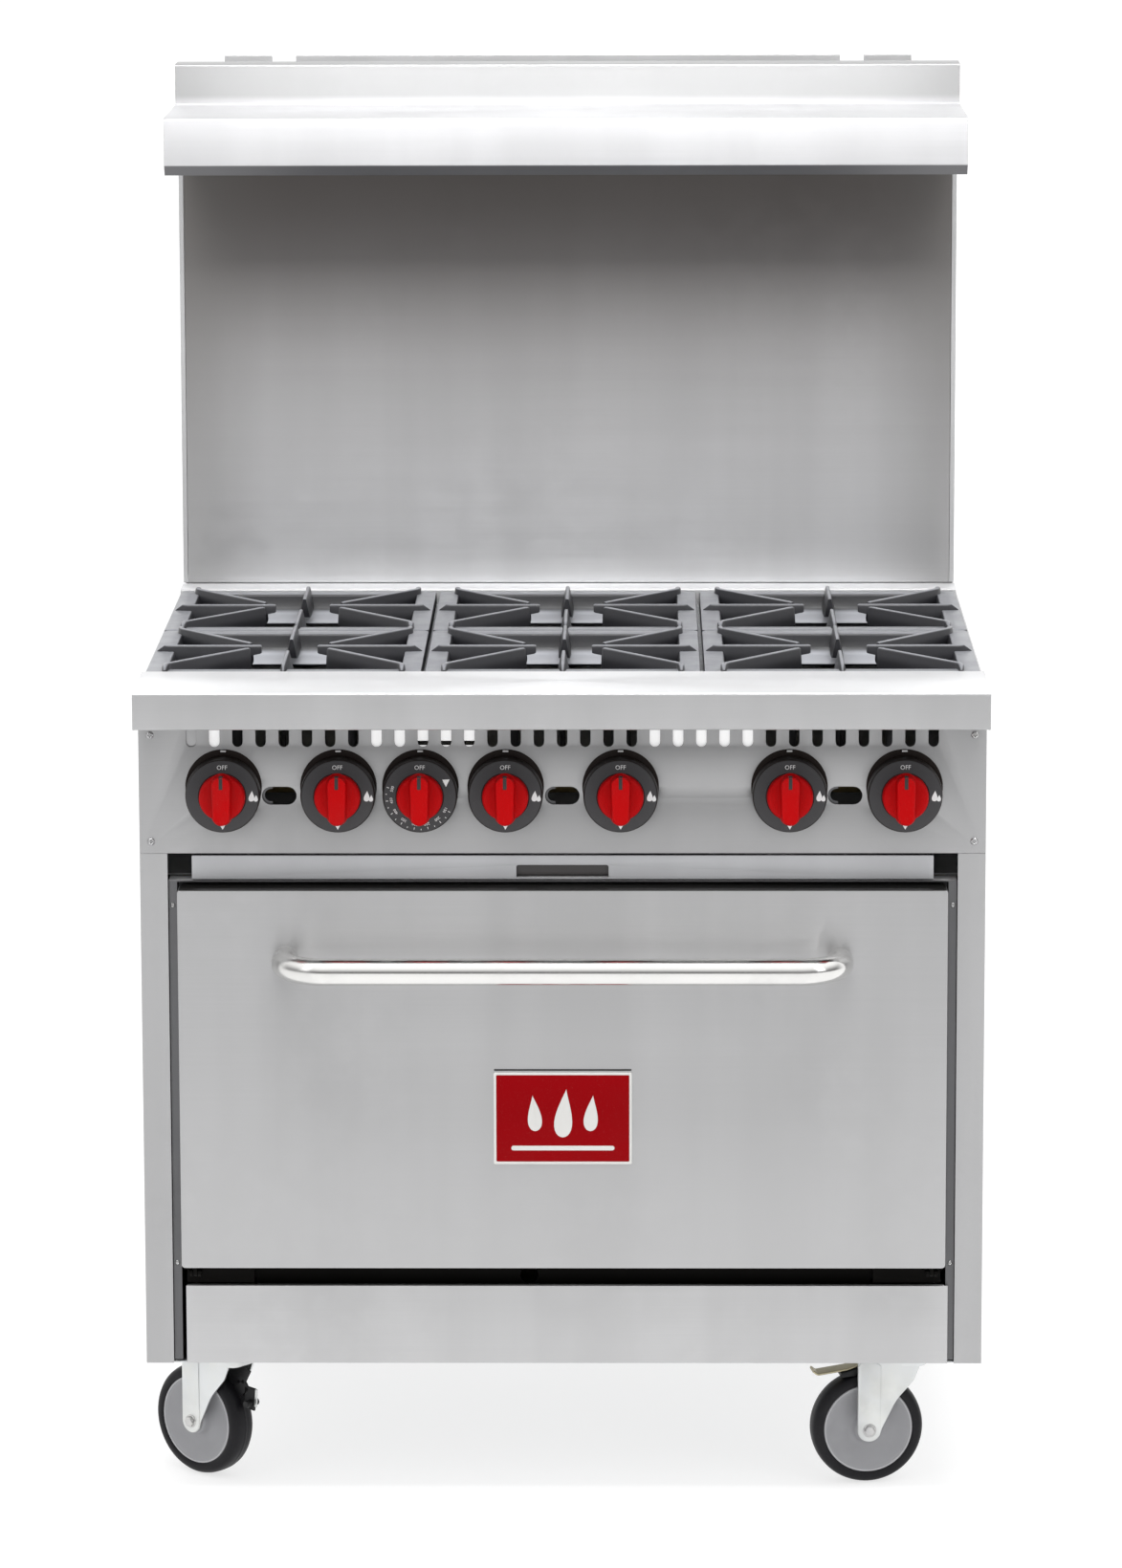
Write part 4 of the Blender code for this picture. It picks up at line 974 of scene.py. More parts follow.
def make_door():
    """Outer panel, inner pan with its pressed field and screws, handle and badge."""
    body = "oven_door"
    low, high = extent("door_panel")
    centre = (0.0, (low[2] + high[2]) / 2)
    half = half_front(low, high)
    rings = [(half[0] - i, half[1] - i, 4.0, d) for i, d in
             ((1.0, high[1]), (0.0, high[1] - 1.0), (0.0, low[1] + 1.2), (0.15, low[1] + 0.5),
              (0.5, low[1] + 0.15), (1.2, low[1]), (3.0, low[1]))]
    piece("door_outer_panel", ringed(rings, "d", centre), STEEL_DOOR, body,
          ("door_panel",), 50)
    low, high = extent("door_liner")
    half = half_front(low, high)
    back = high[1]
    rings = [(half[0] - i, half[1] - i, 4.0 + i * 0.3, d) for i, d in
             ((0.0, low[1]), (0.0, back - 2.0), (0.6, back - 0.6), (2.0, back), (40.0, back),
              (43.0, back - 0.8), (48.0, back - 4.4), (51.0, back - 5.2), (60.0, back - 5.2),
              (160.0, back - 5.2))]
    piece("door_inner_pan", ringed(rings, "d", centre), STEEL_PAN, body,
          ("door_liner",), 50)
    heads = [screw_head((x, back - 0.1, z), TO_BACK, 4.0, 1.6)
             for x in (-392.0, -196.0, 0.0, 196.0, 392.0) for z in (290.0, 667.0)]
    piece("door_pan_screws", gathered(*heads), BOLT, body)

    low, high = extent("door_handle")
    radius = (high[2] - low[2]) / 2
    z, axis_d, reach = (low[2] + high[2]) / 2, low[1] + radius, high[0] - radius
    face, bend = -21.6, 46.0
    path = rounded([(-reach, face, z), (-reach, axis_d, z), (reach, axis_d, z), (reach, face, z)],
                   bend, 16)
    piece("door_handle_bar", swept(path, circle(radius, 40)), POLISHED, body,
          ("door_handle",), 50)
    make_badge(body)


def flame(centre, tall, wide, lean):
    """A leaning drop: x = w sin t sin(t/2)^1.5 + lean (v/h)^2, v = h cos t, a point at the top."""
    t = np.linspace(0, 2 * np.pi, 33)[:-1]
    v = np.cos(t)
    u = wide * np.sin(t) * np.sin(t / 2) ** 1.5 + lean * (v * 0.5 + 0.5) ** 2
    return np.stack([centre[0] + u, centre[1] + tall * v], 1)


def make_badge(body):
    """A white plate with a raised border round a red field, and three flames over a bar."""
    low, high = extent("door_badge")
    half = half_front(low, high)
    centre = np.array((0.0, (low[2] + high[2]) / 2))
    front, back = low[1], high[1]
    border = 2.6
    rings = [(half[0] - i, half[1] - i, 1.6, d) for i, d in
             ((0.0, back), (0.0, front + 0.5), (0.2, front + 0.15), (0.6, front),
              (border - 0.3, front), (border, front + 0.35), (border + 0.4, front + 0.5),
              (border + 2.0, front + 0.5))]
    piece("badge_plate", ringed(rings, "d", centre), BADGE_WHITE, body,
          ("door_badge",), 50)
    field = rounded_rectangle(half[0] - border - 0.3, half[1] - border - 0.3, 1.0) + centre
    piece("badge_red_field", slab(field, "d", front + 0.28, front + 0.6, 0.1), BADGE_RED, body)
    signs = [slab(flame(centre + (x, 6.0), tall, wide, lean), "d", front - 0.1, front + 0.5, 0.15)
             for x, tall, wide, lean in ((-30.0, 20.0, 11.0, -3.0), (0.0, 27.0, 14.0, 4.0),
                                         (30.0, 20.0, 11.0, 3.0))]
    bar = rounded_rectangle(56.0, 2.6, 2.5) + centre + (0.0, -33.0)
    signs.append(slab(bar, "d", front - 0.1, front + 0.5, 0.15))
    piece("badge_flame_sign", gathered(*signs), BADGE_WHITE, body)
    # A dark strip on the door just above the plate's top edge, as a painted shadow line.
    slot = rounded_rectangle(half[0] - 0.4, 0.75, 0.7) + centre + (0.0, half[1] + 2.6)
    piece("badge_hanging_slot", slab(slot, "d", back - 0.12, back + 0.3, 0.05), SHADE_BLACK_MATTE, body)


def make_tray():
    """A front sheet with a finger slot that ends just above its foot, and a pan behind it."""
    low, high = extent("drip_tray")
    front, half, middle = low[1], high[0], (low[2] + high[2]) / 2
    outline = rounded_rectangle(half, (high[2] - low[2]) / 2, 0.6, 2) + (0.0, middle)
    slot = rounded([(-49.8, 697.6), (49.8, 697.6), (49.8, 711.5), (-49.8, 711.5)],
                   [0.4, 0.4, 2.4, 2.4], 4, loop=True)
    face = pierced(outline, [slot], "d", front, front + 2.0)
    near, foot, rim = front + 12.0, low[2] + 1.0, 715.0
    deep = (high[1] - near) / 2
    pan = ringed([(half - i, deep - i, 2.5 - i, z) for i, z in
                  ((0.6, foot), (0.0, foot + 0.6), (0.0, rim - 0.4), (0.4, rim), (1.1, rim),
                   (1.5, rim - 0.4), (1.5, foot + 2.0), (2.0, foot + 1.5))],
                 "z", (0.0, (near + high[1]) / 2))
    step = block((-half, front + 1.6, foot), (half, near + 2.0, foot + 1.0), 0.3)
    piece("drip_tray_folded", gathered(face, pan, step), STEEL_TRAY, "tray",
          ("drip_tray",), 30)


# ---------------------------------------------------------------- knobs

def skirt_front(r):
    """Height of the skirt's sloping face at a radius."""
    return -25.2 + (r - 27.5) * 2.9 / 11.1


def on_skirt(shape, radius, angle, proud=0.25):
    """Flat marks laid on the sloping face at a clock angle, standing a little proud of it."""
    points = np.asarray(shape[0], float)
    u, v = points[:, 0], points[:, 1] + radius
    c, s = math.cos(angle), math.sin(angle)
    x, z = c * u + s * v, -s * u + c * v
    d = skirt_front(np.hypot(x, z)) - proud * (points[:, 2] > 0)
    return np.stack([x, d, z], 1), shape[1]


def flat_sign(outline):
    """An outline as a thin sign in the u v plane."""
    return slab(outline, "z", -0.1, 0.1, 0.02, 1)


def burner_marks():
    """OFF at the top, a large and a small flame at the right, and a triangle at the foot."""
    shapes = [on_skirt(lettering("OFF", 4.6, 0.2), 31.6, 0.0)]
    for place, tall, wide, lean in (((-0.6, -1.7), 5.8, 4.4, 0.8), ((2.0, 3.0), 3.6, 3.1, 0.5)):
        drop = flame((0.0, 0.0), tall, wide, lean)[:, ::-1] * (-1.0, 1.0) + place
        shapes.append(on_skirt(flat_sign(drop), 33.0, math.pi / 2))
    triangle = np.array([(-3.9, -3.0), (0.0, 4.0), (3.9, -3.0)])
    shapes.append(on_skirt(flat_sign(triangle), 32.4, math.pi))
    return gathered(*shapes)


def oven_marks():
    """OFF at the top, a triangle to its right, then the heats with ticks round the foot."""
    shapes = [on_skirt(lettering("OFF", 4.6, 0.2), 31.6, 0.0)]
    lean = math.radians(62)
    c, s = math.cos(lean), math.sin(lean)
    triangle = np.array([(-4.0, 3.6), (0.0, -4.4), (4.0, 3.6)]) @ np.array([[c, s], [-s, c]])
    shapes.append(on_skirt(flat_sign(triangle), 32.0, lean))
    for k in range(8):
        angle = math.radians(118 + 24 * k)
        shapes.append(on_skirt(lettering(str(150 + 50 * k), 3.0, 0.2), 30.6, angle))
        tick = rounded_rectangle(0.35, 1.3, 0.2, 2)
        shapes.append(on_skirt(flat_sign(tick), 35.6, angle))
        if k < 7:
            shapes.append(on_skirt(flat_sign(tick * (1, 0.6)), 36.2, angle + math.radians(12)))
    return gathered(*shapes)


def knob_skirt():
    """A deep dark collar with a gently coned face, and the spindle behind it."""
    profile = [(0.0, 3.8), (39.8, 3.8), (40.4, 4.4), (40.5, 5.6), (40.3, 18.6), (39.9, 20.8),
               (38.6, 22.3), (27.5, 25.2), (26.2, 25.7), (25.4, 25.2), (24.0, 24.2), (0.0, 24.2)]
    spindle = [(0.0, -22.8), (3.6, -22.8), (4.0, -22.2), (4.0, 5.0), (0.0, 5.0)]
    return gathered(lathe(profile, FORWARDS, (0, 0, 0), 72),
                    lathe(spindle, FORWARDS, (0, 0, 0), 20))


def knob_grip():
    """A drum with a rounded rim, and a tall bar across it whose flanks hollow towards the drum."""
    drum = lathe([(0.0, 23.5), (24.9, 23.5), (25.0, 26.0), (24.7, 33.4), (23.9, 35.8), (22.2, 37.1),
                  (16.0, 37.7), (0.0, 37.9)], FORWARDS, (0, 0, 0), 72)
    rings = []
    for flare, d in ((3.4, -35.5), (1.7, -37.8), (0.7, -40.2), (0.2, -43.6), (0.0, -46.8),
                     (-0.4, -48.3), (-1.2, -49.3), (-2.4, -49.9), (-4.0, -50.0)):
        outline = np.vstack([arc((0.0, 15.6), 10.2 + flare * 0.6, 0, 180, 14),
                             arc((0.0, -18.6), 9.2 + flare * 0.6, 180, 360, 14)])
        rings.append(stood(outline, d, "d"))
    return gathered(drum, surface(np.array(rings)))


def knob_pointer():
    """A black strip from the end of the grip's face, over its top end, where the pointer groove
    runs:
    its black is painted shade.
    """
    face = block((-2.0, -50.2, 12.4), (2.0, -49.2, 24.4), 0.2)
    end = block((-2.0, -49.6, 24.0), (2.0, -41.0, 26.0), 0.2)
    return gathered(face, end)


def make_knobs():
    """Seven knobs, each on its own body, with index ticks behind them, and fixed dark discs on the
    panel behind them as a painted shade and reflection of the knobs.
    """
    skirt, grip, pointer = knob_skirt(), knob_grip(), knob_pointer()
    burner, oven = burner_marks(), oven_marks()
    places = [(f"knob_burner_{k + 1}", x, burner) for k, x in enumerate(BURNER_KNOBS)]
    places.append(("knob_oven", OVEN_KNOB, oven))
    ticks, shade_discs = [], []
    for name, x, marks in places:
        at, body = (x, 0.0, KNOB_Z), f"{name}_body"
        piece(f"{name}_skirt", moved(skirt, at), SKIRT, body, (name,), 28)
        piece(f"{name}_grip", moved(grip, at), RED, body, sharp=40)
        piece(f"{name}_pointer", moved(pointer, at), RECESS_SHADE_BLACK, body)
        piece(f"{name}_marks", moved(marks, at), MARKS, body)
        tick = rounded_rectangle(3.0, 1.0, 0.4, 2) + (x, KNOB_Z + 45.5)
        ticks.append(slab(tick, "d", -1.6, -1.2, 0.05))
        # A dark disc behind each knob, set a little high, as its painted shade and reflection on
        # the panel.
        shade_discs.append(lathe([(0.0, -1.0), (6.0, -1.0), (41.3, -0.2), (41.3, 0.8), (40.7, 1.4),
                             (0.0, 1.4)], FORWARDS, (x, 0.0, KNOB_Z + 6.2), 72))
    piece("knob_index_ticks", gathered(*ticks), MARKS)
    piece("knob_bezels", gathered(*shade_discs), KNOB_SHADE_DISC)


# ---------------------------------------------------------------- grates and burners

def finger(route, stations):
    """A cast bar along a route of the plan. Each station (share, low, top, half foot, half top)
    gives a section whose flanks lean in to a rounded ridge; sections between follow by share."""
    route, given = np.array(route, float), np.array(stations, float).T
    along = np.concatenate([[0.0], np.cumsum(np.linalg.norm(np.diff(route, axis=0), axis=1))])
    along /= along[-1]
    share = np.union1d(given[0], along)
    low, top, foot, ridge = (np.interp(share, given[0], row) for row in given[1:])
    middle = np.stack([np.interp(share, along, route[:, k]) for k in (0, 1)], 1)
    run = np.gradient(middle, axis=0)
    run /= np.linalg.norm(run, axis=1)[:, None]
    side = np.stack([-run[:, 1], run[:, 0]], 1)
    crown = np.radians([0, 30, 60, 90, 120, 150, 180])
    u = np.concatenate([[1.0], np.cos(crown), [-1.0]])
    wide = np.where((np.arange(9) == 0) | (np.arange(9) == 8), foot[:, None], ridge[:, None])
    lift = np.concatenate([[0.0], 0.6 * np.sin(crown), [0.0]])
    z = np.where((np.arange(9) == 0) | (np.arange(9) == 8), low[:, None],
                 top[:, None] - 0.6 * ridge[:, None] + lift * ridge[:, None])
    across_run = wide * u
    plan = middle[:, None] + across_run[..., None] * side[:, None]
    return surface(np.concatenate([plan, z[..., None]], -1))


def grate_frame(wide, deep, top=16.0):
    """A ring round the burner: flat ledge, wall down to a dished floor, and a square throat."""
    stepped_in = [(0.0, 5.0, 2.5), (0.0, 5.0, top - 2.2), (0.6, 5.0, top - 0.7), (2.0, 5.0, top),
                  (21.0, 9.0, top), (22.2, 10.0, top - 0.8), (23.0, 11.0, top - 3.0),
                  (25.0, 12.0, 1.0), (29.0, 16.0, -4.6), (40.0, 24.0, -6.6)]
    throat = [(70.0, 26.0, -7.6), (63.5, 24.0, -8.2), (62.0, 23.0, -9.6), (63.0, 23.0, -12.0)]
    underside = [(28.0, 24.0, -11.0), (20.0, 16.0, 0.2), (2.0, 5.0, 0.2)]
    rings = [(wide - i, deep - i, corner, z) for i, corner, z in stepped_in]
    rings += [(half, half, corner, z) for half, corner, z in throat]
    rings += [(wide - i, deep - i, corner, z) for i, corner, z in underside]
    return ringed(rings, "z", steps=6, closed=True)


def grate_shape(wide, deep):
    """The frame with its eight fingers: two along x, two along d, and four that slant in from
    hooked outer ends."""
    top = 23.0
    shapes = [grate_frame(wide, deep)]
    for s in (-1, 1):
        shapes.append(finger([(s * (wide - 3.0), 0.0), (s * 31.0, 0.0)], [
            (0.0, 9.0, 16.6, 1.8, 1.4), (0.07, 6.0, top, 3.6, 2.6), (0.11, 2.0, top, 5.2, 3.7),
            (0.5, -2.0, top, 5.6, 3.8), (0.75, 8.0, top, 4.6, 3.8), (0.985, 13.5, top, 4.2, 3.8),
            (1.0, 14.5, top - 0.8, 3.6, 3.0)]))
        shapes.append(finger([(0.0, s * (deep - 2.0)), (0.0, s * 37.0)], [
            (0.0, 10.0, 17.0, 2.2, 1.2), (0.06, 8.0, 22.0, 4.4, 1.8), (0.12, 4.0, 24.0, 6.6, 2.2),
            (0.7, 1.0, 24.0, 7.2, 2.2), (0.97, 1.0, 23.6, 6.6, 2.1), (1.0, 2.0, 22.8, 5.6, 1.8)]))
        for t in (-1, 1):
            hook = rounded([(s * 129.0, t * (deep - 2.0)), (s * 129.0, t * 118.0),
                            (s * 44.0, t * 17.0)], 17.0, 8)
            shapes.append(finger(hook, [
                (0.0, 8.0, 18.0, 2.6, 1.6), (0.03, 2.0, 21.6, 4.0, 2.6), (0.07, 0.0, top, 4.6, 3.1),
                (0.2, -5.0, top, 5.0, 3.4), (0.65, -5.0, top, 5.4, 3.5),
                (0.965, -4.0, top, 5.2, 3.4), (0.99, 0.0, top - 0.3, 4.6, 3.0),
                (1.0, 3.0, top - 0.9, 3.8, 2.4)]))
    foot = block((-5.0, -5.0, 0.0), (5.0, 5.0, 3.0), 0.8)
    feet = [moved(foot, (sx * 138.0, sy * 128.0, 0.0)) for sx in (-1, 1) for sy in (-1, 1)]
    return gathered(*shapes, *feet)


def grate_hole_shades(wide, deep):
    """Black discs sunk into the dished floor, beside the outer ends of the slanting fingers, at the
    air
    holes: their black is painted shade.
    """
    u, v = wide - 39.0, deep - 39.0
    drops = [lathe([(0.0, -3.4), (8.0, -3.4), (8.6, -4.0), (8.6, -6.0), (0.0, -6.0)], (0, 0, 1),
                   (sx * (u + du), sy * (v + dv), 0.0), 20)
             for sx in (-1, 1) for sy in (-1, 1) for du, dv in ((4.0, -18.0), (-18.0, 4.0))]
    return gathered(*drops)


def make_grates():
    """One casting, and the black discs of its air holes, on each of the six grate bodies."""
    low, high = extent("grate_front_centre")
    wide, deep = (high[0] - low[0]) / 2, (high[1] - low[1]) / 2
    shape, hole_shades = grate_shape(wide, deep), grate_hole_shades(wide, deep)
    seat = high[2] - 24.0
    for row in ("front", "rear"):
        for column in ("left", "centre", "right"):
            name = f"grate_{row}_{column}"
            body = f"{name}_body"
            low, high = extent(name)
            at = ((low[0] + high[0]) / 2, (low[1] + high[1]) / 2, seat)
            piece(f"{name}_casting", moved(shape, at), IRON, body, (name,), 40)
            piece(f"{name}_openings", moved(hole_shades, at), SHADE_BLACK_MATTE, body)


def burner_casting(at, reach, mouth):
    """A ported head on a curved tube: at is the head's axis and foot, reach its side step."""
    x, d, z = at
    head = lathe([(0.0, -1.0), (30.0, 0.0), (37.0, 2.5), (41.0, 7.0), (42.0, 11.0), (42.0, 17.0),
                  (40.6, 21.0), (37.0, 25.0), (32.0, 27.4), (12.0, 28.0), (9.0, 26.6), (0.0, 26.4)],
                 (0, 0, 1), at, 64)
    low = KNOB_Z
    path = rounded([(x + reach, mouth, low), (x + reach, mouth + 45.0, low),
                    (x + reach, d - 30.0, z + 6.0), (x + reach * 0.8, d, z + 12.0),
                    (x, d, z + 12.0)], [0, 20.0, 12.0, 12.0, 0], 6)
    flare = 1 + 0.35 * np.exp(-((path[:, 1] - mouth) / 9.0) ** 2)
    return gathered(head, swept(path, circle(11.0, 20), size=flare))


def burner_ports(at):
    """Two rows of short black plugs round the head, one face deep, at the port bores: their black
    is painted shade.
    """
    ports = []
    for rise, count, shift in ((13.0, 36, 0.0), (22.4, 24, 0.5)):
        radius = 42.0 if rise < 20 else 39.4
        for a in 2 * np.pi * (np.arange(count) + shift) / count:
            out = np.array((math.cos(a), math.sin(a), 0.0 if rise < 20 else 0.55))
            centre = np.array(at) + (radius * math.cos(a), radius * math.sin(a), rise)
            ports.append(lathe([(0.0, 0.12), (1.5, 0.12), (1.5, -1.0)], out, centre, 8))
    return gathered(*ports)


def make_burners():
    """Six burners, whose tubes run forward to the valves beside them."""
    for row, side in (("front", -1), ("rear", 1)):
        for column in ("left", "centre", "right"):
            name = f"burner_{row}_{column}"
            low, high = extent(name)
            x = high[0] - 42.0 if side < 0 else low[0] + 42.0
            at = (x, high[1] - 42.0, high[2] - 28.0)
            piece(f"{name}_casting", burner_casting(at, 61.5 * side, low[1]), IRON_DARK, ROOT,
                  (name,), 40)
            piece(f"{name}_ports", burner_ports(at), RECESS_SHADE_BLACK, ROOT)


# ---------------------------------------------------------------- oven inside

def make_oven():
    """The wire rack, and the tube burner on its two feet."""
    low, high = extent("oven_rack")
    half, near, far = high[0], low[1], high[1]
    z = (low[2] + high[2]) / 2
    wire = (high[2] - low[2]) / 2
    side = half - wire
    rim = rounded([(-side, near + wire), (side, near + wire), (side, far - wire),
                   (-side, far - wire)], 12.0, 6, loop=True)
    rim = stood(rim, z, "z")
    shapes = [swept(rim, circle(wire, 12), closed=True)]
    for x in np.linspace(-half + 30.0, half - 30.0, 19):
        line = [(x, near + wire, z), (x, far - wire, z)]
        shapes.append(swept(line, circle(1.7, 10)))
    for d in (near + 0.34 * (far - near), near + 0.67 * (far - near)):
        shapes.append(swept([(-side, d, z - 0.4), (side, d, z - 0.4)], circle(1.9, 10)))
    piece("oven_rack_wires", gathered(*shapes), CHROME_WIRE, ROOT, ("oven_rack",))

    low, high = extent("oven_burner")
    z, radius = high[2] - 16.0, 16.0
    mouth = (0.0, low[1], z)
    tube = lathe([(12.4, 40.0), (12.4, 0.2), (13.0, 0.0), (15.6, 0.0), (16.0, 0.8), (16.0, 508.0),
                  (15.0, 511.2), (12.0, 512.0), (0.0, 512.0)], TO_BACK, mouth, 32)
    throat = lathe([(0.0, 40.0), (12.4, 40.0)], TO_BACK, mouth, 32)
    foot = rounded([(-20.0, low[2]), (20.0, low[2]), (16.0, z - 6.0), (-16.0, z - 6.0)],
                   2.0, 3, loop=True)
    feet = [slab(foot, "d", d, d + 3.0, 0.6) for d in (120.0, 480.0)]
    piece("oven_burner_tube", gathered(tube, throat, *feet), IRON_DARK, ROOT,
          ("oven_burner",), 40)
    # Black plugs at the tube's ports, their black painted shade.
    ports = [lathe([(0.0, radius + 0.1), (1.4, radius + 0.1), (1.4, radius - 2.0)],
                   (side * 0.8, 0.0, 0.6), (0.0, d, z), 8)
             for side in (-1, 1) for d in np.arange(low[1] + 70.0, high[1] - 20.0, 14.0)]
    piece("oven_burner_ports", gathered(*ports), RECESS_SHADE_BLACK, ROOT)


# ---------------------------------------------------------------- casters

TRAIL = 38.0
AXLE_Z = 62.5
AXLE = (TRAIL, 0.0, AXLE_Z)
FORK_HALF = 22.5


def caster_fork():
    """A pressed fork trailing along x: two cheeks with a raised strap, a crown and a ball race."""
    cheek = np.vstack([
        [(-18.0, 143.0), (-18.0, 133.4)],
        rounded([(-18.0, 133.4), (-12.0, 118.0), (8.0, 96.0), (24.0, 64.0), (26.0, 60.0)],
                [0, 16.0, 60.0, 8.0, 0], 6)[1:-1],
        arc((TRAIL, AXLE_Z), 13.2, 205, 360, 14),
        [(51.2, 143.0)]])
    strap = np.vstack([arc((TRAIL, AXLE_Z), 12.6, 180, 360, 16), [(50.6, 136.0)],
                       arc((42.6, 134.0), 8.0, 30, 90, 4), [(33.0, 142.0), (25.4, 136.0)]])
    shapes = []
    for side in (-1, 1):
        inner, outer = sorted((side * 19.6, side * FORK_HALF))
        shapes.append(slab(cheek, "d", inner, outer, 0.7))
        inner, outer = sorted((side * 21.0, side * (FORK_HALF + 0.9)))
        shapes.append(slab(strap, "d", inner, outer, 0.6))
    crown = rounded_rectangle(38.6, FORK_HALF + 0.2, 9.0) + (11.8, 0.0)
    shapes.append(slab(crown, "z", 138.2, 143.2, 1.6))
    nose = rounded([(2.0, -21.4), (-25.8, -21.4), (-25.8, 21.4), (2.0, 21.4)], 9.0, 8)
    shapes.append(swept(stood(nose, 138.4, "z"), rounded_rectangle(1.2, 4.6, 0.9, 3)))
    shapes.append(lathe([(0.0, 142.0), (27.5, 142.0), (30.5, 143.2), (31.6, 145.4), (30.4, 147.2),
                         (27.2, 148.0), (27.2, 150.2), (0.0, 150.4)], (0, 0, 1), (0, 0, 0), 56))
    shapes.append(lathe([(0.0, 133.0), (7.0, 133.0), (8.6, 134.0), (9.0, 138.6), (0.0, 138.6)],
                        (0, 0, 1), (0, 0, 0), 24))
    return gathered(*shapes)


def caster_axle():
    """A pin through the fork with a flanged bolt head at each end."""
    shapes = [lathe([(0.0, -26.4), (5.6, -26.4), (5.8, -26.0), (5.8, 26.0), (5.6, 26.4),
                     (0.0, 26.4)], TO_BACK, AXLE, 20)]
    for side in (-1, 1):
        shapes.append(hexagon_head((TRAIL, side * (FORK_HALF + 0.8), AXLE_Z), (0.0, side, 0.0),
                                   10.5, 4.2, 7.6))
    return gathered(*shapes)


def caster_wheel():
    """A dished disc that sinks from its rim to the foot of a stout hub."""
    half = [(6.0, 18.4), (13.4, 18.4), (14.6, 17.6), (15.4, 15.0), (16.6, 10.4), (19.0, 7.6),
            (23.0, 6.6), (29.0, 6.9), (35.0, 8.2), (40.0, 10.2), (44.0, 12.6), (46.2, 14.0),
            (48.8, 14.2), (49.5, 14.0)]
    profile = half + [(r, -h) for r, h in half[::-1]]
    return lathe(profile, TO_BACK, AXLE, 72, closed=True)


def caster_tyre():
    """A tread with rounded shoulders and a mould line round its middle."""
    half = [(49.6, 14.4), (50.4, 15.2), (52.5, 15.6), (56.0, 15.3), (59.0, 13.8), (61.0, 11.0),
            (62.1, 7.0), (62.4, 3.0), (62.4, 0.5), (62.5, 0.3)]
    profile = half + [(r, -h) for r, h in half[::-1]]
    return lathe(profile, TO_BACK, AXLE, 96, closed=True)


def hub_rings():
    """A moulded bead round the rim of both faces, in a paler copy of the disc's nylon as a painted
    highlight.
    """
    bead = ((47.2, 13.4), (47.4, 14.6), (48.2, 15.1), (49.0, 14.6), (49.2, 13.4))
    return gathered(*[lathe([(r, side * h) for r, h in bead], TO_BACK, AXLE,
                            72, closed=True) for side in (-1, 1)])


def trailing_brake():
    """Lever under the crown, over the wheel: a pressed tongue with an upturned tip."""
    path = rounded([(0.0, 0.0, 3.5), (13.0, 0.0, -1.0), (46.0, 0.0, -5.6), (51.0, 0.0, -1.8)],
                   [0, 8.0, 4.0, 0], 6)
    tongue = swept(path, rounded_rectangle(11.0, 1.3, 1.2, 3))
    shoe = slab(rounded([(-4.0, 2.4), (20.0, -4.4), (22.0, -10.0), (4.0, -8.0)], 2.0, 3, loop=True),
                "d", -13.0, 13.0, 1.0)
    return tongue, shoe


def leading_brake():
    """Lever on the swivel side that hugs the tread, with a foot tab over a black roller."""
    path = rounded([(1.3, 0.0, 2.6), (12.4, 0.0, -17.0), (1.0, 0.0, -33.2), (-16.0, 0.0, -34.4)],
                   [0, 7.0, 5.0, 0], 6)
    leg = swept(path, rounded_rectangle(13.0, 1.4, 1.2, 3), up=TO_BACK)
    tab = swept(path[-2:] + (-3.0, 0.0, 1.9), rounded_rectangle(10.5, 0.9, 0.8, 3),
                up=TO_BACK)
    roller = lathe([(0.0, -9.5), (3.6, -9.5), (4.2, -8.9), (4.2, 8.9), (3.6, 9.5), (0.0, 9.5)],
                   TO_BACK, (-10.0, 0.0, -39.2), 24)
    return leg, tab, roller


